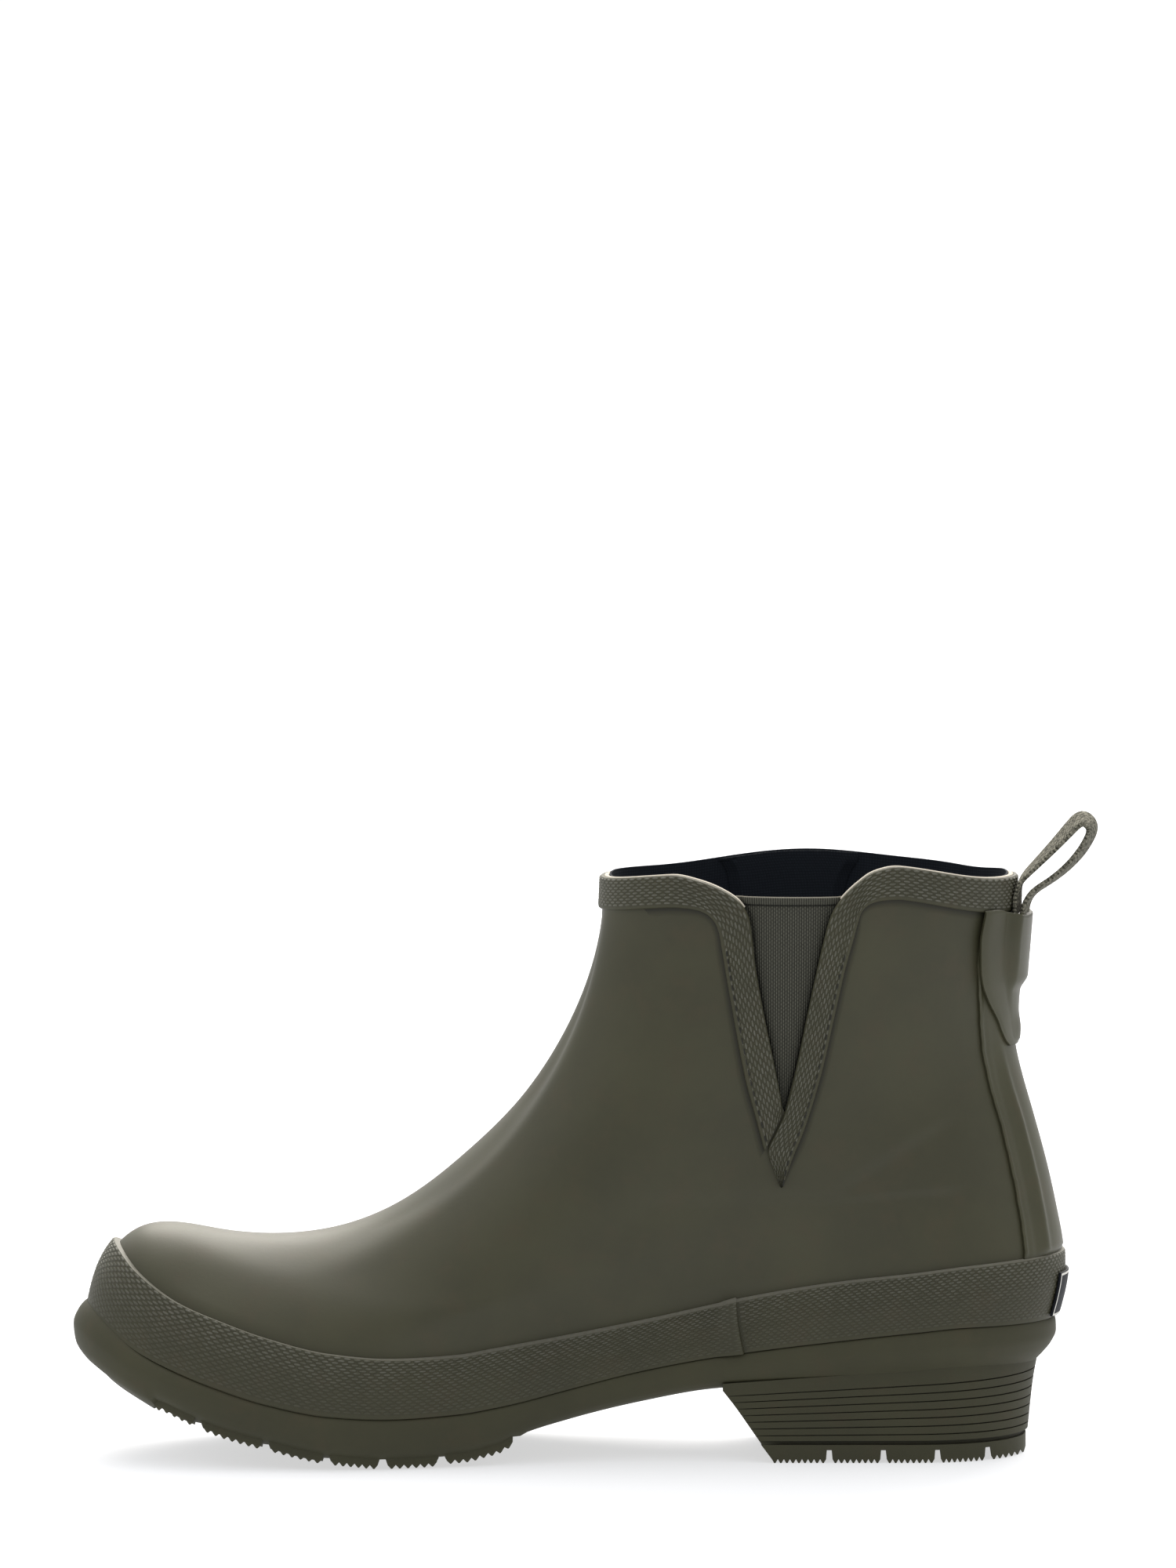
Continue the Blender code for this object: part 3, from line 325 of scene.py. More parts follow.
# How far the edges of the stay and the tab lie forward of their rows: z, distance
STAY_LEAN = np.array([
    (59.0, 3.0), (69.0, 2.9), (77.0, 2.4), (93.0, 1.4), (106.0, 0.9), (122.0, 1.4), (140.0, 1.8),
    (146.0, 0.8), (150.0, -1.5), (154.0, -3.0),
])
TAB_LEAN = np.array([
    (116.2, 1.3), (123.0, 1.3), (130.0, 2.4), (136.0, 3.2), (146.0, 3.3), (153.2, 2.4),
])
# Loop tab: z, near edge x, thickness at the side, the pocket and the middle
LOOP_TAB = np.array([
    (116.2, 119.4, 2.0, 2.0, 2.1), (117.6, 118.4, 2.1, 2.3, 3.0), (121.0, 117.0, 2.3, 2.5, 3.4),
    (126.0, 115.6, 2.4, 2.6, 3.0), (131.5, 114.3, 2.4, 3.0, 3.2), (136.0, 113.6, 2.5, 4.6, 5.2),
    (139.0, 113.3, 2.5, 5.0, 5.3), (146.0, 113.2, 2.5, 5.4, 5.6), (153.2, 113.6, 2.5, 5.7, 5.9),
])
# Places across half the tab: two in the middle, one in the pocket, four at the side
TAB_PLACES = np.array([0, 0.15, 0.5, 0.62, 0.9, 0.965, 1])
# Middle of the webbing: x, z
PULL_LOOP = np.array([
    (121.9, 151.0), (121.8, 157.5), (122.9, 162.6), (125.7, 166.0), (132.9, 173.3), (137.2, 178.0),
    (140.5, 180.1), (142.7, 178.2), (142.0, 174.4), (139.4, 170.3), (135.1, 165.8), (130.0, 162.1),
    (126.0, 159.2), (124.2, 155.8), (123.9, 151.0),
])
# Turn of the webbing: share of its length, degrees
LOOP_TURN = np.array([
    (0.0, -12.0), (0.1, -10.0), (0.2, 2.0), (0.32, 8.0), (0.5, 16.0), (0.65, 15.0), (0.8, 11.0),
    (0.9, 10.0), (1.0, 12.0),
])
# Middle of the webbing across the boot: share of its length, y
LOOP_Y = np.array([
    (0.0, -6.0), (0.15, -5.0), (0.35, -3.0), (0.5, -2.5), (0.7, -3.0), (0.9, -5.5), (1.0, -6.0),
])
# Side of the outsole: share of its height, offset at the side, the toe and the seat
OUTSOLE_SIDE = np.array([
    (0.00, 1.5, 2.0, 1.6), (0.12, 2.0, 4.0, 2.2), (0.35, 2.2, 5.7, 2.3), (0.60, 1.9, 5.2, 1.0),
    (0.82, 1.1, 2.8, -1.2), (1.00, -0.8, -2.4, -3.4),
])
# Heel: share of its height, breast x, back x, half width
HEEL = np.array([
    (0.0, 38.6, 127.2, 28.6), (0.2, 41.6, 126.2, 28.4), (0.6, 47.2, 125.0, 28.2),
    (1.0, 53.0, 124.0, 28.0),
])


# Curves

def natural(knots, values):
    """Smooth curve through the values at the knots."""
    count = len(knots)
    step = np.diff(knots)
    matrix = np.eye(count)
    right = np.zeros(count)
    for i in range(1, count - 1):
        matrix[i, i - 1 : i + 2] = step[i - 1], 2 * (step[i - 1] + step[i]), step[i]
        rise = (values[i + 1] - values[i]) / step[i]
        right[i] = 6 * (rise - (values[i] - values[i - 1]) / step[i - 1])
    bend = np.linalg.solve(matrix, right)

    def at(t):
        t = np.asarray(t, float)
        k = np.clip(np.searchsorted(knots, t) - 1, 0, count - 2)
        h = step[k]
        a = np.clip((knots[k + 1] - t) / h, -0.2, 1.2)
        b = np.clip((t - knots[k]) / h, -0.2, 1.2)
        curve = ((a**3 - a) * bend[k] + (b**3 - b) * bend[k + 1]) * h * h / 6
        return a * values[k] + b * values[k + 1] + curve

    return at


def monotone(knots, values, level_start=False):
    """Curve through the values that never swings past them, level at its start if wanted."""
    step = np.diff(knots)
    rise = np.diff(values) / step
    slope = np.zeros(len(knots))
    slope[0], slope[-1] = (0.0 if level_start else rise[0]), rise[-1]
    for i in range(1, len(knots) - 1):
        if rise[i - 1] * rise[i] > 0:
            w1 = 2 * step[i] + step[i - 1]
            w2 = step[i] + 2 * step[i - 1]
            slope[i] = (w1 + w2) / (w1 / rise[i - 1] + w2 / rise[i])

    def at(t):
        t = np.clip(np.asarray(t, float), knots[0], knots[-1])
        k = np.clip(np.searchsorted(knots, t) - 1, 0, len(knots) - 2)
        h = step[k]
        s = (t - knots[k]) / h
        low = (1 + 2 * s) * (1 - s) ** 2 * values[k] + s * (1 - s) ** 2 * h * slope[k]
        high = s * s * (3 - 2 * s) * values[k + 1] - s * s * (1 - s) * h * slope[k + 1]
        return low + high

    return at


def column(table, k=1):
    """Curve of one column of a table over its first column."""
    return monotone(table[:, 0], table[:, k])


def by_length(line):
    """Curves of a line's three columns over the share of its length."""
    run = np.concatenate([[0], np.cumsum(np.hypot(np.diff(line[:, 0]), np.diff(line[:, 1])))])
    knots = run / run[-1]
    return natural(knots, line[:, 0]), natural(knots, line[:, 1]), monotone(knots, line[:, 2])


def clamp(value):
    return np.clip(value, 0, 1)


def part_way(first, last, share):
    return first + (last - first) * share


def ramp(value, none, full):
    """0 on one side, 1 on the other, and smooth between the two given values."""
    share = clamp((value - none) / (full - none))
    return share * share * (3 - 2 * share)


def hump(value, middle, half):
    """Soft hump of height 1 about a middle value."""
    return np.exp(-(((value - middle) / half) ** 2))


def humps(value, rows):
    """Sum of soft humps, each given by its height, middle and half width."""
    return sum(height * hump(value, middle, half) for height, middle, half in rows)


def signed_power(value, power):
    return np.sign(value) * np.abs(value) ** power


def unit(vectors):
    return vectors / np.linalg.norm(vectors, axis=-1, keepdims=True)


def run_length(points):
    """Length run along the first axis of some points."""
    step = np.linalg.norm(np.diff(points, axis=0), axis=-1)
    return np.concatenate([np.zeros((1,) + step.shape[1:]), np.cumsum(step, axis=0)])


# The last

front_x, front_z, front_round = by_length(FRONT_LINE)
back_x, back_z, back_round = by_length(BACK_LINE)
collar_in, collar_out = [natural(COLLAR[:, 0], COLLAR[:, k]) for k in (1, 2)]
feather_z, foxing_z, underside_z = [column(SOLE, k) for k in (1, 2, 3)]
edge_lift = column(EDGE_LIFT)
stay_ridge = column(BACK_STAY, 2)
centre_bend = natural(CENTRE_BEND[:, 0], CENTRE_BEND[:, 1])
width_curves = [natural(WIDTHS[:, 0], WIDTHS[:, k]) for k in range(1, 9)]
width_shares = [monotone(WIDTH_FALLS[::-1], np.eye(4)[k][::-1]) for k in range(4)]


def half_width(foot, fall, outer):
    total = 0
    for level in range(4):
        inside = width_curves[2 * level](foot)
        outside = width_curves[2 * level + 1](foot)
        total = total + np.where(outer, outside, inside) * width_shares[level](fall)
    return total


def side_view(foot, fall, outer):
    """x and z of the last at a share of the foot and a fall below the collar."""
    back, front = BACK_LINE, FRONT_LINE
    top_x = part_way(back[0, 0], front[0, 0], foot)
    top_z = np.where(outer, collar_out(top_x), collar_in(top_x))
    low_z = feather_z(part_way(back[-1, 0], front[-1, 0], foot))
    x = (1 - foot) * back_x(fall) + foot * front_x(fall)
    z = (1 - foot) * back_z(fall) + foot * front_z(fall)
    flat_z = (1 - foot) * ((1 - fall) * back[0, 1] + fall * back[-1, 1])
    flat_z = flat_z + foot * ((1 - fall) * front[0, 1] + fall * front[-1, 1])
    return x, z + (1 - fall) * top_z + fall * low_z - flat_z


def front_edges():
    """Front line as height by length, and as length by height with the vamp eased."""
    fall = np.linspace(1, 0, 3000)
    x, z = front_x(fall), front_z(fall)
    toe = x < AHEAD[0, 1] + 20
    top = np.argmax(np.where(toe, z, 0)) + 1
    eased = np.linspace(AHEAD[0, 0], AHEAD[-1, 0], 200)[1:-1]
    shaft = z >= AHEAD[-1, 0]
    ahead_z = np.concatenate([[0], z[:top], eased, z[shaft]])
    ahead_x = np.concatenate([[x[0] - 5], x[:top], column(AHEAD)(eased), x[shaft]])
    return np.append(x, x[-1] + 200), np.append(z, z[-1] + 4000), ahead_z, ahead_x


HEIGHT_X, HEIGHT_Z, AHEAD_Z, AHEAD_X = front_edges()


def front_depth(foot, fall, outer):
    """Depth behind and below the front line, running out evenly just before it."""
    near = np.minimum(foot, 0.998)
    x, z = side_view(near, fall, outer)
    below = np.maximum(np.interp(x, HEIGHT_X, HEIGHT_Z) - z, 1e-3)
    behind = np.maximum(x - np.interp(z, AHEAD_Z, AHEAD_X), 1e-3)
    return below * behind / np.hypot(below, behind) * (1 - foot) / (1 - near)


def rounding(share, room):
    """Share of the full width, from 0 at the edge, running softly into 1 past the room."""
    left = 1 - share / room
    left = (left + np.hypot(left, SOFT_TURN)) / (1 + math.hypot(1, SOFT_TURN))
    return np.sqrt(clamp(1 - left**TURN_POWER))


def skin(angle, fall):
    """Outer face of the upper: angle 0 at the back, pi at the toe, inner side first."""
    angle = np.mod(np.asarray(angle, float), 2 * math.pi)
    angle, fall = np.broadcast_arrays(angle, np.asarray(fall, float))
    outer = angle > math.pi
    foot = (1 - np.cos(angle)) / 2
    x, z = side_view(foot, fall, outer)
    width = half_width(foot, fall, outer)
    width = width * rounding(front_depth(foot, fall, outer), front_round(fall))
    width = width * rounding(foot, back_round(fall))
    middle = centre_bend(foot) * clamp(fall) ** BEND_POWER
    return np.stack([x, middle + np.where(outer, width, -width), z], axis=-1)


def outward(angle, fall):
    """Direction out of the skin."""
    h = 2e-3
    along = skin(angle + h, fall) - skin(angle - h, fall)
    down = skin(angle, fall + h) - skin(angle, fall - h)
    return unit(np.cross(along, down))


def raised(angle, fall, height):
    """Points at a height above the skin."""
    angle, fall = np.broadcast_arrays(angle, fall)
    return skin(angle, fall) + outward(angle, fall) * np.broadcast_to(height, angle.shape)[..., None]


def locate(x, z, outer):
    """Angle and fall of the point that the side view shows at x, z."""
    x, z = np.broadcast_arrays(np.asarray(x, float), np.asarray(z, float))
    grid_foot, grid_fall = np.meshgrid(np.linspace(0.01, 0.99, 30), np.linspace(0, 1, 31))
    gx, gz = side_view(grid_foot, grid_fall, np.full(grid_foot.shape, outer))
    apart = (gx.ravel() - x[..., None]) ** 2 + (gz.ravel() - z[..., None]) ** 2
    best = np.argmin(apart, axis=-1)
    foot, fall = grid_foot.ravel()[best], grid_fall.ravel()[best]
    side = np.full(foot.shape, outer)
    h = 1e-4
    for _ in range(20):
        px, pz = side_view(foot, fall, side)
        fx, fz = side_view(foot + h, fall, side)
        dx, dz = side_view(foot, fall + h, side)
        a, b, c, d = (fx - px) / h, (dx - px) / h, (fz - pz) / h, (dz - pz) / h
        det = a * d - b * c
        ex, ez = x - px, z - pz
        foot = np.clip(foot + (d * ex - b * ez) / det, 1e-6, 1 - 1e-6)
        fall = clamp(fall + (a * ez - c * ex) / det)
    angle = np.arccos(1 - 2 * foot)
    return (2 * math.pi - angle if outer else angle), fall


def fall_where(angle, above):
    """Fall at which above(x, z) of the skin turns negative."""
    high, low = np.zeros(np.shape(angle)), np.ones(np.shape(angle))
    for _ in range(40):
        mid = (high + low) / 2
        point = skin(angle, mid)
        over = above(point[..., 0], point[..., 2]) > 0
        high, low = np.where(over, mid, high), np.where(over, low, mid)
    return (high + low) / 2


def heel_outline(share, inset=0.0):
    """Outline of the heel: straight breast, straight sides, round back."""
    breast, back, half = [float(column(HEEL, k)(share)) for k in (1, 2, 3)]
    breast, back, half = breast + inset, back + HEEL_REACH - inset, half - inset
    bend = np.linspace(-math.pi / 2, math.pi / 2, 61)
    curve_x = back - HEEL_BACK_LONG + HEEL_BACK_LONG * np.abs(np.cos(bend)) ** HEEL_ROUND
    side_x = np.linspace(breast, back - HEEL_BACK_LONG, 10)[:-1]
    side_y = np.full(len(side_x), half)
    front_y = np.linspace(half, -half, 12)[1:-1]
    x = np.concatenate([side_x, curve_x, side_x[::-1], np.full(len(front_y), breast)])
    y = np.concatenate([-side_y, half * np.sin(bend), side_y, front_y])
    return x, y


# Place of the boot in the frame, from the solid of the top lift
lift_low, lift_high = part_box("heel_top_lift")
lift_back = float(column(HEEL, 2)(1 - (LIFT_TOP - LIFT_EDGE) / HEEL_TALL))
MOVE = np.array([lift_high.x / MM - lift_back, (lift_low.y + lift_high.y) / 2 / MM, 0.0])


# Making pieces

def choose(*pieces):
    bpy.ops.object.select_all(action="DESELECT")
    for piece in pieces:
        piece.select_set(True)
    bpy.context.view_layer.objects.active = pieces[0]


def fresh(name, add, **settings):
    """Adds a primitive, a light or a camera with nothing else selected, and names it."""
    bpy.ops.object.select_all(action="DESELECT")
    add(**settings)
    made = bpy.context.object
    made.name = name
    return made


def lay(mesh, points):
    """Moves the points of a mesh to places given in the boot's millimetres."""
    mesh.vertices.foreach_set("co", ((points + MOVE) * MM).reshape(-1))
    mesh.update()


def sheet(name, place, along=None, across=None, relief=None):
    """Grid primitive laid on the points of place, with a UV map in metres along the surface."""
    rows, cols = place.shape[:2]
    grid = {"x_subdivisions": cols - 1, "y_subdivisions": rows - 1, "size": 1}
    piece = fresh(name, bpy.ops.mesh.primitive_grid_add, **grid)
    mesh = piece.data
    mesh.name = name
    lay(mesh, place)
    along = run_length(place) if along is None else along
    across = run_length(place.transpose(1, 0, 2)).T if across is None else across
    flat = np.stack(np.broadcast_arrays(along, across), axis=-1).reshape(-1, 2) * MM
    corner = np.empty(len(mesh.loops), np.int32)
    mesh.loops.foreach_get("vertex_index", corner)
    mesh.uv_layers.active.data.foreach_set("uv", flat[corner].astype(np.float32).reshape(-1))
    if relief is not None:
        relief = np.broadcast_to(relief, (rows, cols)).astype(np.float32)
        mesh.attributes.new("relief", "FLOAT", "POINT").data.foreach_set("value", relief.reshape(-1))
    return piece


def weld(piece, fill=False):
    """Joins the meeting edges, closes open ends if wanted and turns the faces outwards."""
    choose(piece)
    bpy.ops.object.mode_set(mode="EDIT")
    bpy.ops.mesh.select_all(action="SELECT")
    bpy.ops.mesh.remove_doubles(threshold=2e-6)
    if fill:
        bpy.ops.mesh.select_all(action="DESELECT")
        bpy.ops.mesh.select_mode(type="EDGE")
        bpy.ops.mesh.select_non_manifold(extend=False)
        bpy.ops.mesh.fill_holes(sides=0)
        bpy.ops.mesh.select_mode(type="VERT")
    bpy.ops.mesh.select_all(action="SELECT")
    bpy.ops.mesh.normals_make_consistent(inside=False)
    bpy.ops.object.mode_set(mode="OBJECT")
    return piece


def facets(piece, rows, cols):
    """Splits the cells of a relief along its grooves, so that each stud is a low pyramid."""
    choose(piece)
    row, col = np.divmod(np.arange((rows - 1) * (cols - 1)), cols - 1)
    wanted = (row + col) % 2 == 0
    for method in ("FIXED_ALTERNATE", "FIXED"):
        bpy.ops.object.mode_set(mode="EDIT")
        bpy.ops.mesh.select_mode(type="FACE")
        bpy.ops.mesh.select_all(action="DESELECT")
        bpy.ops.object.mode_set(mode="OBJECT")
        piece.data.polygons.foreach_set("select", wanted)
        bpy.ops.object.mode_set(mode="EDIT")
        bpy.ops.mesh.quads_convert_to_tris(quad_method=method, ngon_method="BEAUTY")
        bpy.ops.mesh.select_mode(type="VERT")
        bpy.ops.object.mode_set(mode="OBJECT")
        sides = np.empty(len(piece.data.polygons), np.int32)
        piece.data.polygons.foreach_get("loop_total", sides)
        wanted = sides == 4


def apply(piece, kind, **settings):
    """Adds a modifier with these settings and applies it."""
    choose(piece)
    modifier = piece.modifiers.new(kind.lower(), kind)
    for key, value in settings.items():
        setattr(modifier, key, value)
    bpy.ops.object.modifier_apply(modifier=modifier.name)


def thicken(piece, thick):
    """Gives a sheet its thickness, inwards from its face."""
    apply(piece, "SOLIDIFY", thickness=thick * MM, offset=-1.0)


def cut(piece, outline, low_y, high_y):
    """Cuts away an outline in the side view: a filled circle drawn out to it, then extruded across."""
    circle = {"vertices": len(outline), "radius": 1, "fill_type": "NGON"}
    tool = fresh("cutter", bpy.ops.mesh.primitive_circle_add, **circle)
    lay(tool.data, np.array([(x, low_y, z) for x, z in outline]))
    bpy.ops.object.mode_set(mode="EDIT")
    bpy.ops.mesh.select_all(action="SELECT")
    bpy.ops.mesh.extrude_region_move(
        TRANSFORM_OT_translate={"value": (0, (high_y - low_y) * MM, 0)}
    )
    bpy.ops.mesh.select_all(action="SELECT")
    bpy.ops.mesh.normals_make_consistent(inside=False)
    bpy.ops.object.mode_set(mode="OBJECT")
    apply(piece, "BOOLEAN", operation="DIFFERENCE", solver="EXACT", object=tool)
    bpy.data.objects.remove(tool)


def dress(piece, degrees, finish, slot, *nodes):
    """Smooths a finished piece and gives it its material and its place in the frame."""
    choose(piece)
    bpy.ops.object.shade_smooth_by_angle(angle=math.radians(degrees))
    piece.data.materials.clear()
    piece.data.materials.append(finish)
    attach(piece, "root")
    if nodes:
        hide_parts(*nodes)


# Finishes

class Term:
    """A socket of a finish, with arithmetic that adds Math nodes."""

    def __init__(self, tree, socket=None):
        self.tree = tree
        self.socket = socket

    def feed(self, entry, value):
        """Links a term to a socket, or sets the socket's own value."""
        if isinstance(value, Term):
            self.tree.links.new(value.socket, entry)
        else:
            entry.default_value = value

    def node(self, kind, settings=(), inputs=(), output=0):
        """Any node: its type, its settings, and the values or links of its sockets."""
        made = self.tree.nodes.new("ShaderNode" + kind)
        for key, value in dict(settings).items():
            setattr(made, key, value)
        for key, value in dict(inputs).items():
            self.feed(made.inputs[key], value)
        return Term(self.tree, made.outputs[output])

    def math(self, operation, other=0.0):
        return self.node("Math", {"operation": operation}, {0: self, 1: other})

    def __add__(self, other):
        return self.math("ADD", other)

    __radd__ = __add__

    def __mul__(self, other):
        return self.math("MULTIPLY", other)

    __rmul__ = __mul__

    def __sub__(self, other):
        return self.math("SUBTRACT", other)

    def __rsub__(self, other):
        return (self * -1.0) + other

    def __truediv__(self, other):
        return self.math("DIVIDE", other)

    def __abs__(self):
        return self.math("ABSOLUTE")

    def sine(self):
        return self.math("SINE")

    def swing(self):
        """Sine moved to run from 0 to 1."""
        return self.sine() * 0.5 + 0.5

    def step(self, low, high):
        """0 below low, 1 above high, smooth between."""
        settings = {"interpolation_type": "SMOOTHSTEP"}
        return self.node("MapRange", settings, {0: self, 1: low, 2: high})

    def split(self):
        """The three parts of a vector."""
        parts = self.tree.nodes.new("ShaderNodeSeparateXYZ")
        self.feed(parts.inputs[0], self)
        return [Term(self.tree, part) for part in parts.outputs]


class Finish(Term):
    """A material with its Principled shader."""

    def __init__(self, name, rough, **constants):
        self.material = bpy.data.materials.new(name)
        self.material.use_nodes = True
        super().__init__(self.material.node_tree)
        self.shader = self.tree.nodes["Principled BSDF"]
        self.put(Roughness=rough, **constants)

    def put(self, **sockets):
        for key, value in sockets.items():
            self.feed(self.shader.inputs[key.replace("_", " ")], value)

    def surface(self):
        """Place along and across the piece's own surface, in millimetres."""
        along, across, _ = self.node("UVMap").split()
        return along * 1000.0, across * 1000.0

    def height(self):
        """The relief that the piece's mesh carries."""
        return self.node("Attribute", {"attribute_name": "relief"}, output="Fac")

    def noise(self, size, detail=3.0, rough=0.5):
        """Noise from 0 to 1 with spots of a size in millimetres."""
        place = self.node("TexCoord", output="Object")
        inputs = {"Vector": place, "Scale": 1 / (size * MM), "Detail": detail, "Roughness": rough}
        return self.node("TexNoise", (), inputs)

    def blend(self, share, first, second):
        """Colour between two colours or terms."""
        settings = {"data_type": "RGBA"}
        return self.node("Mix", settings, {0: share, 6: first, 7: second}, output=2)

    def bump(self, height, deep, normal=None):
        """Bump of a depth in millimetres, over another one if given."""
        inputs = {"Strength": 1.0, "Distance": deep * MM, "Height": height}
        if normal is not None:
            inputs["Normal"] = normal
        return self.node("Bump", (), inputs)


def shade(colour, factor):
    return tuple(min(1.0, value * factor) for value in colour[:3]) + (1.0,)


def dashes(finish, strip):
    """Mask of short dashes along the crests of a strip's studs, in staggered rows, where highlights are
    painted.
    """
    along, across = finish.surface()
    lane = (across - strip.start * strip.tall) / (strip.wide * strip.tall / strip.rows)
    wave = (along * (math.pi / strip.half_pitch)).math("COSINE")
    row_wave = ((lane + len(strip.lead)) * math.pi).math("COSINE")
    inside = lane.step(-0.7, -0.3) * (1 - lane.step(strip.rows - 0.7, strip.rows - 0.3))
    return (wave * row_wave).step(-0.75, 0.0) * abs(row_wave).step(0.35, 0.8) * inside


def rubber(name, colour, rough, coat=0.0, grooves=0.0, strip=None, pale=0.0, fade=None, rim=0.0):
    """Matte rubber with faint clouds and a fine grain, with painted shade in its grooves and corners and
    painted highlights on its studs and top edge.
    """
    finish = Finish(name, rough, Specular_IOR_Level=0.34, Coat_Weight=coat, Coat_Roughness=0.35)
    clouds = finish.noise(34.0, 4.0, 0.55)
    specks = finish.noise(1.3, 2.0, 0.6)
    tone = clouds.step(0.3, 0.72) * 0.7 + specks * 0.3
    paint = finish.blend(tone, shade(colour, 0.84), shade(colour, 1.16))
    warm = finish.noise(9.0, 3.0, 0.6).step(0.5, 0.72)
    paint = finish.blend(warm * 0.4, paint, (colour[0] * 1.2, colour[1] * 1.02, colour[2] * 1.05, 1))
    fine = finish.noise(0.45, 2.0, 0.6)
    normal = finish.bump(fine * 0.5 + specks, 0.02)
    if grooves:
        # Painted shade in the grooves, where the relief lies below GROOVE_TOP
        low = 1 - finish.height().step(0.0, GROOVE_TOP)
        paint = finish.blend(low * grooves, paint, shade(colour, 0.4))
        # Painted shadow where the relief lies below 0, on the lip along the tape's edge
        corner = 1 - finish.height().step(-0.5, -0.02)
        paint = finish.blend(corner * 0.8, paint, shade(colour, 0.3))
    if strip:
        # Painted highlights: pale dashes on the stud crests, broken up by noise and fading away from the
        # top edge if asked
        dash = dashes(finish, strip) * finish.height().step(0.03, 0.3)
        normal = finish.bump(dash, 0.12, normal)
        if fade:
            dash = dash * (1 - finish.surface()[1].step(0.0, fade) * 0.7)
        highlight_breakup = finish.noise(2.2, 2.0, 0.6).step(0.3, 0.7) * 0.6 + 0.4
        paint = finish.blend(dash * highlight_breakup * pale, paint, STUD_HIGHLIGHT)
    if rim:
        # Painted highlight along the strip's top edge, broken up by the grain
        edge = 1 - finish.surface()[1].step(0.15, 0.6)
        paint = finish.blend(edge * (specks * 0.6 + 0.5) * rim, paint, RIM_HIGHLIGHT)
    finish.put(Base_Color=paint, Roughness=rough - 0.05 + clouds * 0.08 + specks * 0.05, Normal=normal)
    return finish.material


def elastic(name):
    """Ribbed knit: upright ribs with small loops up each of them, and a hem with its seam."""
    finish = Finish(name, 0.85, Specular_IOR_Level=0.25)
    along, across = finish.surface()
    ribs = (across * (2 * math.pi / GORE_RIB)).swing()
    shift = (across * (math.pi / GORE_RIB)).sine().step(-0.1, 0.1) * math.pi
    loops = (along * (2 * math.pi / GORE_LOOP) + shift).swing()
    hem = 1 - along.step(1.9, 2.3)
    seam = along.step(2.1, 2.3) * (1 - along.step(2.6, 2.8))
    loops = loops * (1 - hem) + hem * 0.5
    fuzz = finish.noise(0.5, 2.0)
    # The yarn is lighter on the crests of the ribs and loops and darker between them: painted shade in the
    # knit's hollows
    yarn = ribs * (loops * 0.7 + 0.3)
    tone = (yarn * 0.75 + fuzz * 0.25) * (1 - seam * 0.85)
    paint = finish.blend(tone, (0.008, 0.0085, 0.006, 1), (0.138, 0.137, 0.108, 1))
    fold = 1 - along.step(0.15, 0.4)
    paint = finish.blend(fold * 0.65, paint, (0.42, 0.39, 0.32, 1))
    finish.put(Base_Color=paint, Roughness=0.9 - yarn * 0.1)
    finish.put(Normal=finish.bump(ribs * 0.6 + loops * ribs * 0.5 + fuzz * 0.2, 0.25))
    return finish.material


def textile(name, colour, pitch, deep=0.05):
    """Close plain weave."""
    finish = Finish(name, 0.92, Specular_IOR_Level=0.2)
    warp, weft = [(way * (2 * math.pi / pitch)).swing() for way in finish.surface()]
    fuzz = finish.noise(0.9, 3.0)
    clouds = finish.noise(22.0, 3.0)
    tone = warp * weft * 0.5 + fuzz * 0.3 + clouds * 0.2
    finish.put(Base_Color=finish.blend(tone, shade(colour, 0.6), shade(colour, 1.5)))
    finish.put(Roughness=0.96 - tone * 0.12, Normal=finish.bump(warp * weft + fuzz * 0.5, deep))
    return finish.material


def webbing(name):
    """Slanting ribs of mixed pale and dark yarn."""
    finish = Finish(name, 0.85, Specular_IOR_Level=0.25)
    along, across = finish.surface()
    ribs = (across * (2 * math.pi / WEBBING_RIB)).sine()
    slant = ribs.step(-0.05, 0.05) * math.pi
    twill = (along * (2 * math.pi / WEBBING_TWILL) + slant + across * WEBBING_SLANT).swing()
    flecks = finish.noise(0.9, 3.0, 0.65)
    fuzz = finish.noise(0.35, 2.0)
    tone = twill * 0.4 + flecks.step(0.42, 0.6) * 0.6
    paint = finish.blend(tone, (0.020, 0.020, 0.013, 1), (0.235, 0.225, 0.175, 1))
    finish.put(Base_Color=paint, Roughness=0.92 - tone * 0.1)
    finish.put(Normal=finish.bump(twill + abs(ribs) * 0.6 + fuzz * 0.5, 0.22))
    return finish.material


def label_finish(name, long, tall):
    """Dark moulded plate with a thin pale frame inside its edge."""
    finish = Finish(name, 0.6, Specular_IOR_Level=0.12)
    along, across = finish.surface()
    side = (long / 2 - abs(along - long / 2)).math("MINIMUM", tall / 2 - abs(across - tall / 2))
    frame_line = side.step(0.12, 0.25) * (1 - side.step(0.75, 0.9))
    fuzz = finish.noise(1.2, 3.0)
    dark = finish.blend(fuzz, (0.007, 0.008, 0.011, 1), (0.014, 0.016, 0.021, 1))
    finish.put(Base_Color=finish.blend(frame_line, dark, (0.62, 0.61, 0.57, 1)))
    finish.put(Roughness=0.55 + fuzz * 0.15, Normal=finish.bump(frame_line + fuzz * 0.1, 0.25))
    return finish.material


def thread(name, dark, pale):
    """Fuzzy yarn between two tones."""
    finish = Finish(name, 0.75, Specular_IOR_Level=0.3)
    fuzz = finish.noise(0.35, 3.0)
    finish.put(Base_Color=finish.blend(fuzz, dark, pale), Roughness=0.7 + fuzz * 0.15)
    finish.put(Normal=finish.bump(fuzz, 0.05))
    return finish.material
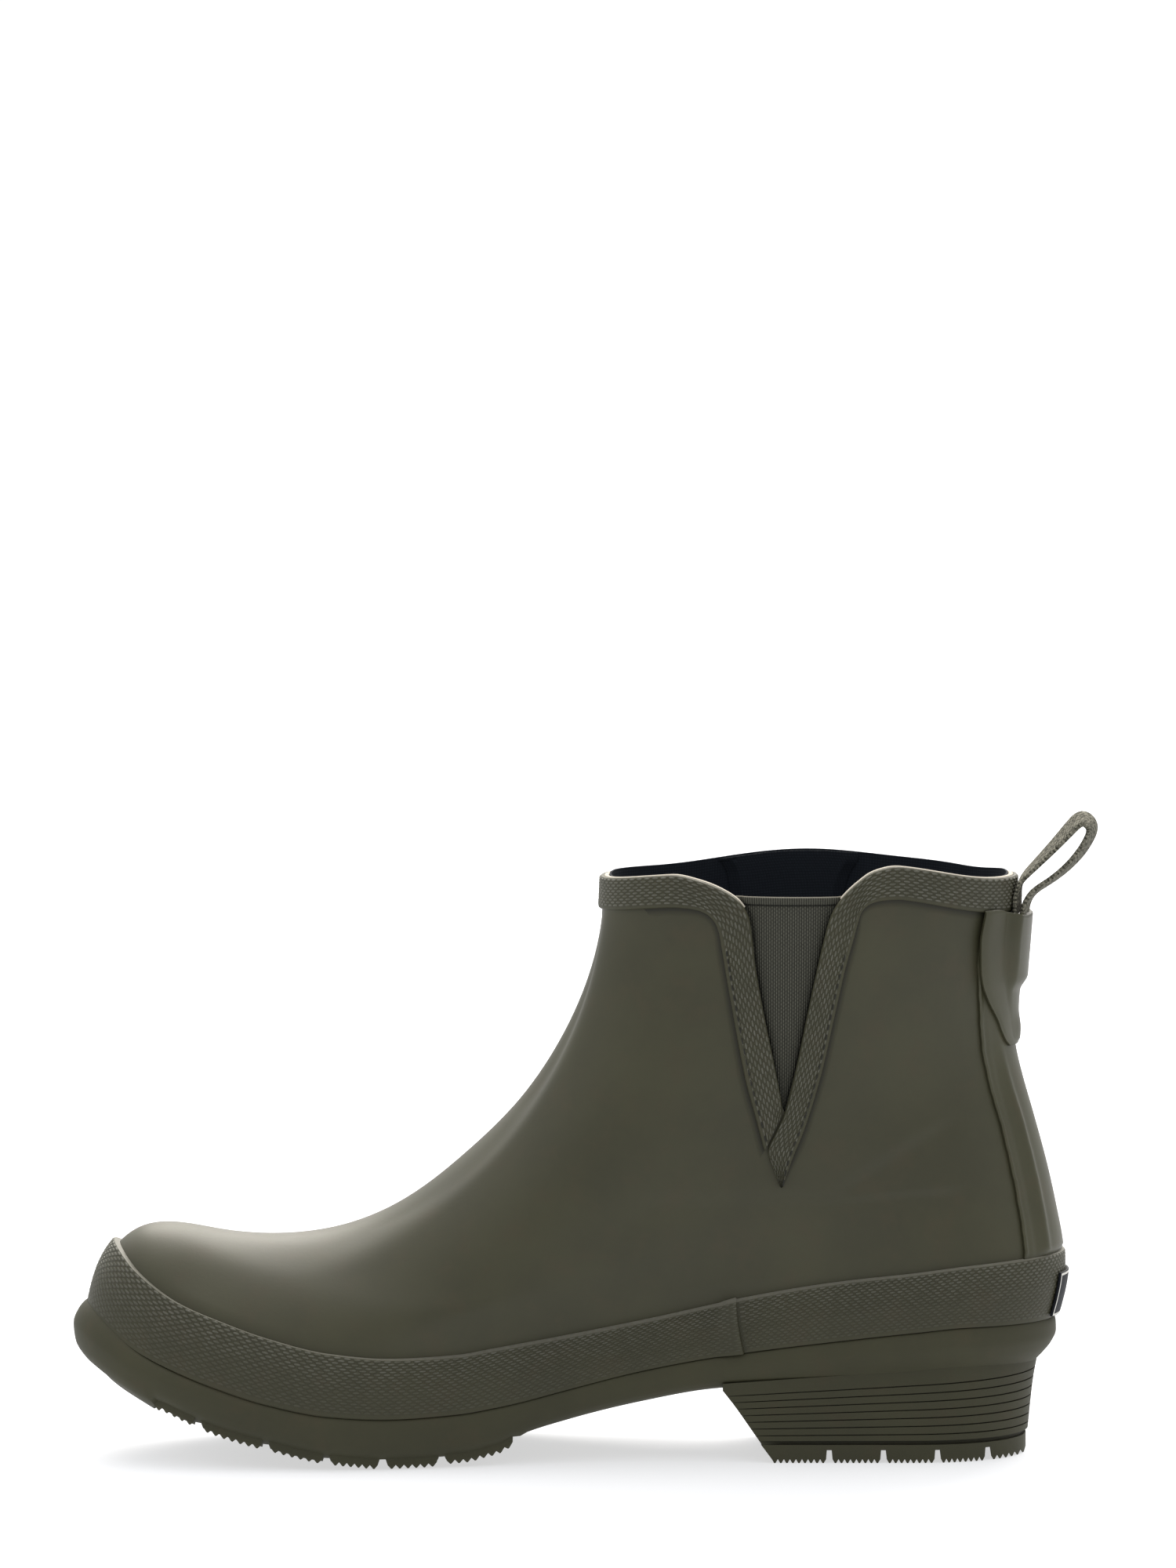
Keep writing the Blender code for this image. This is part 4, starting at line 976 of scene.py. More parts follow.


# grooves, pale, fade and rim set the painted groove shade, the painted stud highlights, their fade and the
# painted edge highlight
upper_rubber = rubber("upper_rubber", OLIVE, 0.55, coat=0.04)
stay_rubber = rubber("stay_rubber", shade(OLIVE, 1.15), 0.48, coat=0.06, grooves=0.6)
foxing_rubber = rubber(
    "foxing_rubber", shade(OLIVE, 0.95), 0.58, grooves=0.25, strip=FOXING, pale=0.85, fade=13.0, rim=1.1
)
tape_rubber = rubber("tape_rubber", OLIVE, 0.6, grooves=0.4, strip=TAPE, pale=0.9)
sole_rubber = rubber("sole_rubber", shade(OLIVE, 0.98), 0.7)
heel_rubber = rubber("heel_rubber", shade(OLIVE, 0.86), 0.7, grooves=0.5)
elastic_knit = elastic("elastic_knit")
navy_lining = textile("navy_lining", (0.0105, 0.0140, 0.0200), 0.8)
insole_cloth = textile("insole_cloth", (0.010, 0.013, 0.018), 1.1, 0.1)
olive_webbing = webbing("olive_webbing")
seam_thread = thread("seam_thread", (0.010, 0.010, 0.008, 1), (0.028, 0.028, 0.022, 1))
pale_edge = thread("pale_edge", (0.34, 0.31, 0.25, 1), (0.54, 0.50, 0.43, 1))


# Pieces of the upper

def side_drop(drop, outer):
    """Drop below the collar, without the round shoulders of the V on the outer side."""
    if not outer:
        return drop
    return np.maximum(0, drop - GORE_TOP) * V_TIP / (V_TIP - GORE_TOP)


def collar_z(x, outer):
    return collar_out(x) if outer else collar_in(x)


def leg_edges(rows, count, outer):
    """Free edge and body edge of a leg of the V in the side view."""
    knots = np.arange(len(rows), dtype=float)
    t = np.linspace(0, len(rows) - 1, count)
    free_x, body_x = [monotone(knots, rows[:, k])(t) for k in (0, 2)]
    free_drop, body_drop = [side_drop(monotone(knots, rows[:, k], True)(t), outer) for k in (1, 3)]
    body_drop = np.maximum(body_drop, free_drop + np.where(t < 3, TAPE.tall - t, 0))
    return free_x, collar_z(free_x, outer) - free_drop, body_x, collar_z(body_x, outer) - body_drop


def v_outline(outer, rim):
    """Outline of the V in the side view, open at the top or closed under the rim of the collar."""
    front_fx, front_fz, _, _ = leg_edges(FRONT_LEG[:-1], 40, outer)
    rear_fx, rear_fz, _, _ = leg_edges(BACK_LEG[:9], 40, outer)
    points = list(zip(front_fx, front_fz)) + list(zip(rear_fx[::-1], rear_fz[::-1]))
    if rim:
        return [(x, z) for x, z in points if z < collar_z(x, outer) - rim]
    return [(front_fx[0], ABOVE_COLLAR)] + points + [(rear_fx[0], ABOVE_COLLAR)]


def cut_gores(piece, outer_rim=0.0):
    """Cuts out both V shapes, the outer one under a rim if wanted."""
    low, high = V_REACH
    cut(piece, v_outline(False, 0.0), -high, -low)
    cut(piece, v_outline(True, outer_rim), low, high)


def trough(place, line):
    """Depth of a soft trough under a line in the side view, running out below it and at its ends."""
    x = place[..., 0]
    below = column(line)(x) - place[..., 2]
    ends = ramp(np.minimum(x - line[0, 0], line[-1, 0] - x), 0, TROUGH_END)
    fade = np.exp(-np.maximum(below, 0) / TROUGH_FADE)
    return TROUGH_DEEP * ends * ramp(below, -TROUGH_EDGE, TROUGH_EDGE) * fade


def evened(place):
    """Evens out the soft edge in which the sections meet at the sides of the vamp."""
    x, z = place[..., 0], place[..., 2]
    front = np.interp(x, HEIGHT_X, HEIGHT_Z)
    share = ramp(z - foxing_z(x), *EVEN_ABOVE) * ramp(front - z, *EVEN_BELOW)
    share = (share * ramp(x, *EVEN_TOE) * ramp(x, *EVEN_SHAFT))[:, 1:-1, None]
    for _ in range(EVEN_ROUNDS):
        between = (place[:, :-2] + place[:, 2:]) / 2
        place[:, 1:-1] += 0.5 * share * (between - place[:, 1:-1])
    return place


def make_upper():
    """Rubber shell, open at the collar, at both V shapes and underneath."""
    angle = np.linspace(0, 2 * math.pi, 241)[:, None]
    fall = np.concatenate([np.linspace(0, 0.6, 46), np.linspace(0.6, 1, 61)[1:]])[None, :]
    place = skin(angle, fall)
    hollow = np.maximum(trough(place, COUNTER_LINE), trough(place, QUARTER_LINE))
    place = evened(raised(angle, fall, -hollow))
    place[:, -1, 2] = feather_z(place[:, -1, 0])
    upper = weld(sheet("upper_shell", place))
    thicken(upper, WALL - LINING - LINING_GAP)
    cut_gores(upper)
    dress(upper, 40, upper_rubber, "upper_rubber", "upper")


def make_lining():
    """Cloth inside the shell, standing a little higher on the far side."""
    angle = np.linspace(0, 2 * math.pi, 161)[:, None]
    fall = np.linspace(*LINING_FALL, 61)[None, :]
    place = raised(angle, fall, LINING - WALL)
    far = clamp(place[:, 0, 1] / LINING_TURN + 0.5)
    place[:, 0, 2] = skin(angle[:, 0], 0.0)[:, 2] + part_way(*LINING_RIM, far)
    lining = weld(sheet("lining", place))
    thicken(lining, LINING)
    cut_gores(lining, outer_rim=LINING_STRIP)
    dress(lining, 40, navy_lining, "insole_fabric")


def strip_columns(strip):
    """Share of the width, height above the upper and mask of the studs for a strip's columns."""
    share = strip.start + strip.wide * np.arange(strip.rows + 1) / strip.rows
    band = np.column_stack([share, np.full(len(share), strip.out)])
    columns = np.concatenate([strip.lead, band, strip.tail])
    mask = np.zeros((1, len(columns)))
    mask[0, len(strip.lead) : len(strip.lead) + strip.rows] = 1
    return columns[None, :, 0], columns[None, :, 1], mask


def checkered(mask, row):
    """1 on every other point of the studded band, 0 elsewhere."""
    return mask * ((row + np.arange(mask.shape[1])) % 2 == 0)


def foxing_rows():
    """Angle, top and x of the rows of half studs round the boot, the row at the lap's end and its turn."""
    dense = np.linspace(0, 2 * math.pi, 2001)
    top = fall_where(dense, lambda x, z: z - foxing_z(x))
    middle = skin(dense, (top + 1) / 2)
    x = middle[:, 0]
    run = run_length(middle)
    pitch = np.interp(x[1:], FOXING_PITCH_X, FOXING_PITCH)
    count = np.concatenate([[0], np.cumsum(2 * np.diff(run) / pitch)])
    even = np.linspace(0, count[-1], 2 * round(count[-1] / 2) + 1)
    angle = np.interp(np.interp(even, count, run), run, dense)
    end = np.argmin(np.abs(np.interp(angle, dense, x) - LAP_END) + 1e3 * (angle > math.pi))
    near = dense < math.pi
    for row, row_x in ((end, LAP_END), (end - 1, LAP_END + LAP_STEP)):
        angle[row] = np.interp(-row_x, -x[near], dense[near])
    back = dense < 0.9 * math.pi
    turn = np.interp(-LAP_END, -x[back], np.gradient(dense[back], -x[back]))
    rows = angle, np.interp(angle, dense, top), np.interp(angle, dense, x)
    return [line[:, None] for line in rows] + [end, turn]


def make_foxing():
    """Studded strip round the boot, with a slanting lap of its ends at the inner waist."""
    angle, top, x, end, turn = foxing_rows()
    share, base, mask = strip_columns(FOXING)
    row = np.arange(len(angle))[:, None]
    near = angle < math.pi
    over = near * (row >= end)
    corner = over * clamp(1 - (LAP_END - x) / LAP_CORNER)
    top = top - LAP_CORNER_RISE * (1 - top) * np.sqrt(corner)
    fall = top + (1 - top) * share
    lean = near * clamp(1 - np.abs(x - LAP_END) / LAP_LONG) * (share - 0.5) * LAP_SLANT
    angle = angle - lean * turn
    face = base > 1
    lap = near * np.interp(x, LAP[:, 0], LAP[:, 1])
    under = (row == end - 1) * face
    studded = np.abs(row - end + 0.5) >= 1
    worn = LAP_WORN * over * clamp((x - LAP[0, 0]) / LAP_WORN_LONG)
    relief = checkered(mask, row) * studded * (1 - worn)
    mask = mask * studded
    stud = FOXING.relief * (1 - 0.5 * share) * (relief - STUD_GROOVE * mask)
    place = raised(angle, fall, base + face * lap + stud - LAP_SINK * under)
    for col in (-3, -2):
        place[:, col, 2] = feather_z(place[:, col, 0])
    # Plain edges get no painted groove shade; the row under the lap's end keeps relief 0 and so gets a
    # painted shadow
    plain = GROOVE_TOP * (1 - mask) * (1 - under)
    foxing = sheet("foxing_strip", place, row * FOXING.half_pitch, share * FOXING.tall, relief + plain)
    facets(foxing, *place.shape[:2])
    weld(foxing)
    dress(foxing, 30, foxing_rubber, "foxing_rubber", "foxing")


def tape_lines(rows, behind):
    """Angle and fall of the free and the body edge of a tape, from one tip to the other."""
    legs = []
    for outer in (False, True):
        free_x, free_z, body_x, body_z = leg_edges(rows, 140, outer)
        legs.append(locate(free_x, free_z, outer) + locate(body_x, body_z, outer))
    inner, outer = legs
    if behind:
        outer = (outer[0] - 2 * math.pi, outer[1], outer[2] - 2 * math.pi, outer[3])
    angle = np.linspace(inner[0][0], outer[0][0], 160)[1:-1]
    deep = TAPE.tall + behind * TAPE_BACK_MORE * np.sin(np.linspace(0, math.pi, len(angle)))
    level = skin(angle, 0.0)[:, 2] - deep
    fall = fall_where(angle, lambda x, z: z - level)
    middle = (angle, np.zeros(angle.shape), angle, fall)
    return [np.concatenate([inner[k][::-1], middle[k], outer[k]]) for k in range(4)]


def tape_place(lines, step, share):
    """Angle and fall at equal steps along a tape, at a share of its width."""
    free_angle, free_fall, body_angle, body_fall = lines
    run = run_length(skin((free_angle + body_angle) / 2, (free_fall + body_fall) / 2))
    along = np.linspace(0, run[-1], 2 * round(run[-1] / step / 2) + 1)
    free_angle, free_fall, body_angle, body_fall = [np.interp(along, run, line)[:, None] for line in lines]
    return part_way(free_angle, body_angle, share), part_way(free_fall, body_fall, share)


def make_tape(name, lines, node):
    """Studded tape with a rounded free edge and a thin lip that runs out on the upper and carries a painted
    shadow.
    """
    share, base, mask = strip_columns(TAPE)
    angle, fall = tape_place(lines, TAPE.half_pitch, share)
    row = np.arange(len(angle))[:, None]
    relief = checkered(mask, row)
    place = raised(angle, fall, base + TAPE.relief * (relief - STUD_GROOVE * mask))
    plain = GROOVE_TOP * (1 - mask)
    # Relief below 0 on the lip puts a painted shadow along the tape's edge
    plain[0, -4:-1] = LIP_SHADOW_RELIEF
    tape = sheet(name, place, row * TAPE.half_pitch, share * TAPE.tall, relief + plain)
    facets(tape, *place.shape[:2])
    weld(tape, fill=True)
    dress(tape, 30, tape_rubber, "binding_tape", node)


def make_stitches(name, lines):
    """Stitches down the legs of a tape: one rounded stitch, copied to each place."""
    angle, fall = tape_place(lines, STITCH_LONG + STITCH_GAP, STITCH_AT)
    spot = raised(angle, fall, TAPE.out + STITCH_LIFT)[:, 0]
    up = outward(angle, fall)[:, 0]
    middle = (spot[1:] + spot[:-1]) / 2
    ahead = unit(spot[1:] - spot[:-1])
    side = unit(np.cross(up[:-1] + up[1:], ahead))
    up = np.cross(ahead, side)
    keep = middle[:, 2] < COLLAR[0, 1] - STITCH_DROP
    stitch = fresh(name, bpy.ops.mesh.primitive_uv_sphere_add, segments=8, ring_count=6, radius=1)
    one = np.array([vert.co for vert in stitch.data.vertices]) * STITCH_HALF
    faces = [tuple(face.vertices) for face in stitch.data.polygons]
    points = []
    loops = []
    for m, a, s, u in zip(middle[keep], ahead[keep], side[keep], up[keep]):
        start = len(points) * len(one)
        points.append(m + one[:, :1] * s + one[:, 1:2] * u + one[:, 2:] * a)
        loops += [tuple(start + v for v in face) for face in faces]
    mesh = bpy.data.meshes.new(name)
    mesh.from_pydata(((np.concatenate(points) + MOVE) * MM).tolist(), [], loops)
    stitch.data = mesh
    weld(stitch)
    dress(stitch, 80, seam_thread, "binding_tape")


def make_edge(name, lines):
    """Pale turned edge over the top of the wall, from one gore to the other."""
    free = tape_place(lines, EDGE_STEP, 0)
    body = tape_place(lines, EDGE_STEP, 1)
    spot, out = skin(*free)[:, 0], outward(*free)[:, 0]
    outer = np.mod(free[0][:, 0], 2 * math.pi) > math.pi
    level = np.where(outer, collar_out(spot[:, 0]), collar_in(spot[:, 0]))
    keep = level - spot[:, 2] < np.where(outer, EDGE_DROP_OUT, EDGE_DROP_IN)
    pick = slice(np.argmax(keep), len(keep) - np.argmax(keep[::-1]))
    spot, out = spot[pick], out[pick]
    rise = spot - skin(*body)[pick, 0]
    rise = unit(rise - out * np.sum(rise * out, axis=1, keepdims=True))
    place = spot[:, None] + out[:, None] * EDGE_SECTION[:, :1] + rise[:, None] * EDGE_SECTION[:, 1:]
    edge = weld(sheet(name, place), fill=True)
    dress(edge, 50, pale_edge, "binding_tape")


def gore_grid(outer, margin):
    """Points behind the V in the side view, its front edge, its width and the depth below the hem's top."""
    drop = np.linspace(GORE_TOP, V_TIP + GORE_TAIL, 101)[:, None]
    left, right = [monotone(leg[3:9, 1], leg[3:9, 0])(drop) for leg in (FRONT_LEG, BACK_LEG)]
    gap = np.maximum(right - left, 0.5)
    x = left - margin + (gap + 2 * margin) * np.linspace(0, 1, 141)
    z = collar_z(GORE_MIDDLE_X, outer) - side_drop(drop, outer)
    return x, z, left, gap, drop - GORE_TOP


def make_gore(name, outer, node):
    """Ribbed elastic behind the V, swelling a little through it, with a folded hem on top."""
    x, z, left, gap, below = gore_grid(outer, GORE_SEAM)
    inside = clamp((x - left) / gap)
    swell = GORE_SWELL * clamp(4 * inside * (1 - inside)) ** 0.4 * clamp(gap / 10) ** 0.7
    hem = HEM_OUT * clamp((HEM_TALL - below) / HEM_SOFT)
    hem = hem - HEM_SEAM * hump(below, HEM_TALL + HEM_SOFT, HEM_SOFT)
    hem = hem - HEM_FOLD[0] * clamp(1 - below / HEM_FOLD[1])
    place = raised(*locate(x, z, outer), -WALL - GORE_BEHIND + swell + hem)
    gore = weld(sheet(name, place, below, x))
    thicken(gore, GORE_THICK)
    dress(gore, 50, elastic_knit, "elastic", node)


def make_backing(name, outer):
    """Lining behind the elastic, sloping up to the wall round it."""
    x, z, left, gap, _ = gore_grid(outer, GORE_SEAM + BACKING_MARGIN)
    outside = np.maximum(left - x, x - left - gap)
    slope = clamp((outside - GORE_SEAM) / BACKING_MARGIN)
    place = raised(*locate(x, z, outer), -WALL - BACKING_BEHIND + BACKING_SLOPE * slope)
    place[0, :, 2] += BACKING_RIM[outer]
    backing = weld(sheet(name, place))
    thicken(backing, BACKING_THICK)
    dress(backing, 50, navy_lining, "insole_fabric")


def back_strip(rows, lean, z, across, flare=0.0, waver=0.0):
    """Strip down the back, its edges set forward so that they show where the solid's edges do."""
    edge = column(rows)(z) - column(lean)(z)
    edge = edge + waver * (np.sin(0.75 * z) + 0.7 * np.sin(1.6 * z + 1))
    edge_angle, _ = locate(edge, z, False)
    angle = edge_angle[:, None] * across
    return angle, fall_where(angle, lambda x, height: height - z[:, None] - flare)


def closed_strip(name, face, back, dark):
    """Closed strip from its outer face and its inner face, with painted shade in the corner along its
    edges.
    """
    place = np.concatenate([back[:, :1], face, back[:, ::-1]], axis=1)
    relief = np.zeros(place.shape[:2])
    relief[:, 1 + dark : 1 + face.shape[1] - dark] = PLAIN
    return weld(sheet(name, place, relief=relief), fill=True)


def make_stay():
    """Raised strip down the back with a bead at its edges, a soft ridge and a foot under the foxing."""
    across = np.sin(np.linspace(math.pi / 2, -math.pi / 2, 91))
    z = np.append(np.linspace(BACK_STAY[-1, 0], BACK_STAY[0, 0], 110), STAY_FOOT)
    angle, fall = back_strip(BACK_STAY, STAY_LEAN, z, across, waver=STAY_WAVER)
    wide = np.abs(across)
    ridge = STAY_RIDGE * ramp(wide, *STAY_SHOULDER) + humps(wide, STAY_RIBS)
    thin = STAY_THIN * clamp((wide - 0.7) / 0.3)
    height = STAY_OUT - STAY_SINK - thin + humps(wide, STAY_BEAD) + stay_ridge(z)[:, None] * ridge
    above_foot = clamp((z - BACK_STAY[0, 0]) / 2 + 1)[:, None]
    face = raised(angle, fall, part_way(STAY_TUCK, height, above_foot))
    face[:, [0, -1]] = raised(angle, fall, STAY_EDGE)[:, [0, -1]]
    # Relief 0 on one column at each edge: painted shade along the stay's edges
    stay = closed_strip("back_stay_strip", face, raised(angle, fall, STAY_BACK), 1)
    dress(stay, 50, stay_rubber, "upper_rubber", "back_stay")


def make_tab():
    """Patch at the top of the back, with the pocket that holds the webbing."""
    across = np.linspace(1, -1, 81)
    wide = np.abs(across)
    z = np.linspace(TAB_TOP, TAB_TIP, 90)
    upper_part = clamp((z - TAB_FLARE_FROM) / (TAB_TOP - TAB_FLARE_FROM))[:, None]
    flare = TAB_FLARE * upper_part * ramp(wide, *TAB_FLARE_SHARE)
    angle, fall = back_strip(LOOP_TAB, TAB_LEAN, z, across, flare)
    side, pocket, middle = [column(LOOP_TAB, k)(z) for k in (2, 3, 4)]
    edge = [side - less for less in TAB_EDGE]
    levels = np.column_stack([middle, middle, pocket, side, side, *edge])
    height = np.array([monotone(TAB_PLACES, level)(wide) for level in levels])
    base = (STAY_OUT + TAB_BASE + stay_ridge(z))[:, None]
    height = np.maximum(height, base + TAB_LEAST)
    rounded = clamp((TAB_TOP - z) / TAB_ROUND)[:, None]
    height = height - TAB_ROUND_DEEP * (1 - np.sqrt(1 - (1 - rounded) ** 2))
    face, back = raised(angle, fall, height), raised(angle, fall, base - TAB_SINK)
    tab = closed_strip("loop_pocket", face, back, 0)
    dress(tab, 50, stay_rubber, "upper_rubber", "loop_tab")


def make_loop():
    """Webbing bent into a loop, a little turned at its top."""
    run = run_length(PULL_LOOP)
    along = np.linspace(0, run[-1], 120)
    share = along / run[-1]
    x, z = [natural(run, PULL_LOOP[:, k])(along) for k in (0, 1)]
    middle = np.column_stack([x, np.zeros(len(along)), z])
    ahead = unit(np.gradient(middle, axis=0))
    middle[:, 1] = column(LOOP_Y)(share)
    turn = np.radians(np.interp(share, LOOP_TURN[:, 0], LOOP_TURN[:, 1]))[:, None]
    flat = np.cos(turn) * (0, 1, 0) + np.sin(turn) * np.cross(ahead, (0, 1, 0))
    thick = np.cross(ahead, flat)
    bend = np.linspace(0, 2 * math.pi, 33)
    half_wide = WEBBING_HALF_WIDE * signed_power(np.cos(bend), WEBBING_ROUND[0])
    half_thick = WEBBING_HALF_THICK * signed_power(np.sin(bend), WEBBING_ROUND[1])
    place = middle[:, None] + flat[:, None] * half_wide[:, None] + thick[:, None] * half_thick[:, None]
    loop = sheet("webbing_loop", place, along[:, None], half_wide + WEBBING_HALF_WIDE)
    weld(loop, fill=True)
    dress(loop, 60, olive_webbing, "webbing", "pull_loop")


def make_label():
    """Small plate on the back of the foxing."""
    z = np.linspace(LABEL_TOP, LABEL_BOTTOM, 15)[:, None]
    angle = np.linspace(LABEL_HALF_ANGLE, -LABEL_HALF_ANGLE, 29) + np.zeros(z.shape)
    fall = fall_where(angle, lambda x, height: height - z)
    face = raised(angle, fall, LABEL_OUT)
    along = run_length(face.transpose(1, 0, 2)).T
    long = float(along.max(axis=1).mean())
    plate = weld(sheet("label_plate", face, along, LABEL_TOP - z))
    thicken(plate, LABEL_THICK)
    sharp = math.radians(50)
    apply(plate, "BEVEL", width=LABEL_BEVEL * MM, segments=2, limit_method="ANGLE", angle_limit=sharp)
    finish = label_finish("label_finish", long, LABEL_TOP - LABEL_BOTTOM)
    dress(plate, 50, finish, "label_plate", "heel_label")


# Pieces of the sole

def plan_loop(angle, offset):
    """Feather edge moved outwards in plan."""
    h = 2e-3
    along = skin(angle + h, 1.0) - skin(angle - h, 1.0)
    out = unit(np.stack([along[:, 1], -along[:, 0]], axis=1))
    if out[0, 0] < 0:
        out = -out
    return skin(angle, 1.0)[:, :2] + out * np.broadcast_to(offset, angle.shape)[:, None]


def sole_offset(share, angle):
    """How far the sole stands out from the feather edge, and how much of it is the heel seat."""
    toe = clamp(-np.cos(angle)) ** SOLE_TOE_POWER
    seat = ramp(np.cos(angle), *SOLE_SEAT_TURN)
    side, front, rear = [float(column(OUTSOLE_SIDE, k)(share)) for k in (1, 2, 3)]
    return side * (1 - toe - seat) + front * toe + rear * seat, seat


def sole_base(x):
    """Underside of the sole unit, set back above the tread."""
    inside = (x > TREAD_FROM) & (x < TREAD_TO)
    return underside_z(x) + np.where(inside, TOOTH_DEEP + SOLE_BASE_UP, 0.0)


def make_sole():
    """Moulded unit under the feather edge, with slots across; gives the edges of its base in plan."""
    half = 180
    angle = np.linspace(0, 2 * math.pi, 2 * half + 1)
    base_offset, seat = sole_offset(1.0, angle)
    base = plan_loop(angle, base_offset)
    base_z = sole_base(base[:, 0]) + edge_lift(base[:, 0]) + SOLE_EDGE_RISE * (1 - seat)
    loops = []
    for share in np.concatenate([[0, 0.03], np.linspace(0.07, 0.94, 16), [0.97, 1.0]]):
        offset, _ = sole_offset(share, angle)
        plan = plan_loop(angle, offset - SOLE_TUCK * (share == 0))
        if share == 0:
            top_z = feather_z(plan[:, 0]) - SOLE_GAP
        loops.append(np.column_stack([plan, part_way(top_z, base_z, share)]))
    loops.append(np.column_stack([base[:, 0], base[:, 1] * SOLE_BASE_WIDE, sole_base(base[:, 0])]))
    sole = sheet("sole_unit", np.array(loops).transpose(1, 0, 2))
    covers = []
    for loop in (loops[0], loops[-1]):
        near, far = loop[: half + 1, None], loop[half:, None][::-1]
        covers.append(sheet("sole_cover", part_way(near, far, np.linspace(0, 1, 9)[:, None])))
    choose(sole, *covers)
    bpy.ops.object.join()
    weld(sole)
    for x in SLOTS:
        low, high = underside_z(x) - SLOT_BELOW, underside_z(x) + SLOT_DEEP
        wide, narrow = SLOT_WIDE / 2 + SLOT_FLARE, SLOT_WIDE / 2 - SLOT_TAPER
        outline = [(x - wide, low), (x + wide, low), (x + narrow, high), (x - narrow, high)]
        cut(sole, outline, -SOLE_REACH, SOLE_REACH)
    dress(sole, 40, sole_rubber, "sole_rubber", "outsole")
    return [side[np.argsort(side[:, 0])] for side in (base[: half + 1], base[half:])]


def tooth_line(first, last, slots, wide, taper, deep, goal):
    """x and rise of a lower edge with teeth between cross slots, at about the pitch that is the goal."""
    x, rise = [], []
    start = first
    for slot in list(slots) + [None]:
        end = last if slot is None else slot - wide / 2
        count = max(1, round((end - start) / goal))
        pitch = (end - start) / count
        for k in range(count):
            middle = start + (k + 0.5) * pitch
            x += [middle - pitch / 2, middle - TOOTH_TIP, middle + TOOTH_TIP]
            rise += [TOOTH_DEEP, 0.0, 0.0]
        x.append(end)
        rise.append(TOOTH_DEEP)
        if slot is not None:
            start = slot + wide / 2
            x += [end + taper, start - taper]
            rise += [deep, deep]
    return np.array(x) + np.linspace(0, 1e-3, len(x)), np.array(rise)


def tread(name, x, rise, under, tall, near_y, far_y, flank, slope=0.0, lift=0.0):
    """Bar across the sole whose lower face follows the tooth line and whose front may slope."""
    low, valley, top = under + rise, under + np.maximum(rise, TOOTH_DEEP), under + tall
    flank = flank * clamp(1 - rise / TOOTH_DEEP)
    corners = [
        (0, near_y + flank, low + lift), (0, TREAD_FLAT * near_y, low), (0, TREAD_FLAT * far_y, low),
        (0, far_y - flank, low + lift), (0, far_y, valley + lift), (slope, far_y, top + lift),
        (slope, near_y, top + lift), (0, near_y, valley + lift), (0, near_y + flank, low + lift),
    ]
    place = np.stack([np.column_stack([x - lean, y, z]) for lean, y, z in corners], axis=1)
    return weld(sheet(name, place, relief=PLAIN), fill=True)


def make_forefoot_tread(near, far):
    """Toothed layer under the forefoot, between the edges of the sole."""
    x, rise = tooth_line(TREAD_FROM, TREAD_TO, SLOTS, SLOT_WIDE, SLOT_TAPER, SLOT_DEEP, TREAD_PITCH)
    near_y = np.interp(x, near[:, 0], near[:, 1]) - TREAD_OUT
    far_y = np.interp(x, far[:, 0], far[:, 1]) + TREAD_OUT
    under, lift = underside_z(x), edge_lift(x)
    front = tread("forefoot_tread", x, rise, under, TREAD_TALL, near_y, far_y, TOOTH_FLANK, lift=lift)
    dress(front, 20, sole_rubber, "sole_rubber")


def make_top_lift():
    """Wearing layer of the heel, toothed underneath, with cross slots."""
    outline_x, outline_y = heel_outline(LIFT_LEVEL)
    breast, back = float(outline_x.min()) + LIFT_SET_BACK, float(outline_x.max())
    slot = (LIFT_SLOT_WIDE, LIFT_SLOT_TAPER, LIFT_SLOT_DEEP)
    x, rise = tooth_line(breast, back - LIFT_SHORT, LIFT_SLOTS, *slot, LIFT_PITCH)
    cosine = clamp(1 - clamp((back - x) / HEEL_BACK_LONG)) ** (1 / HEEL_ROUND)
    half = outline_y.max() * np.sqrt(np.clip(1 - cosine**2, 0.0004, 1))
    slope = LIFT_LEAN * clamp(1 - (x - x[0]) / LIFT_LEAN)
    flank = LIFT_FLANK * clamp(half / 5)
    lift = tread("top_lift", x, rise, np.zeros(len(x)), LIFT_TOP - LIFT_LOW, -half, half, flank, slope)
    dress(lift, 20, heel_rubber, "heel_rubber", "heel_top_lift")


def make_heel():
    """Heel block with fine level grooves and a deeper one over the top lift."""
    low_z = LIFT_TOP + LIFT_GAP
    lift_share = 1 - low_z / HEEL_TALL
    tall = HEEL_GROOVE_TALL / (HEEL_TALL * lift_share)
    wide, narrow = [half * tall for half in HEEL_GROOVE_HALF]
    steps = [(HEEL_IN_SEAT, 0.0), (0.0, 0.0)]
    for k in range(HEEL_GROOVES):
        share = HEEL_GROOVE_FIRST + HEEL_GROOVE_STEP * k
        steps += [(share - wide, 0.0), (share - narrow, HEEL_GROOVE_DEEP)]
        steps += [(share + narrow, HEEL_GROOVE_DEEP), (share + wide, 0.0)]
    steps += zip(LIFT_GROOVE, (0.0, LIFT_GROOVE_DEEP, LIFT_GROOVE_DEEP))
    loops = []
    for share, inset in steps:
        level = max(0.0, min(1.0, share * lift_share))
        x, y = heel_outline(level)
        inner_x, inner_y = heel_outline(level, inset)
        start, full = HEEL_GROOVE_RUN
        depth = clamp((x - x.min() - start) / (full - start))
        x, y = part_way(x, inner_x, depth), part_way(y, inner_y, depth)
        run = (x - HEEL[0, 1]) / (HEEL[0, 2] - HEEL[0, 1])
        z = (part_way(*HEEL_SEAT, run) + LIFT_GAP) * (1 - share) + low_z * share
        loop = np.column_stack([x, y, z])
        loops.append(np.concatenate([loop, loop[:1]]))
    # Relief 0 in the grooves, where the finish paints shade
    relief = np.array([0.0 if inset > 0 else PLAIN for _, inset in steps])
    heel = weld(sheet("heel_stack", np.array(loops).transpose(1, 0, 2), relief=relief), fill=True)
    dress(heel, 30, heel_rubber, "heel_rubber", "heel_block")


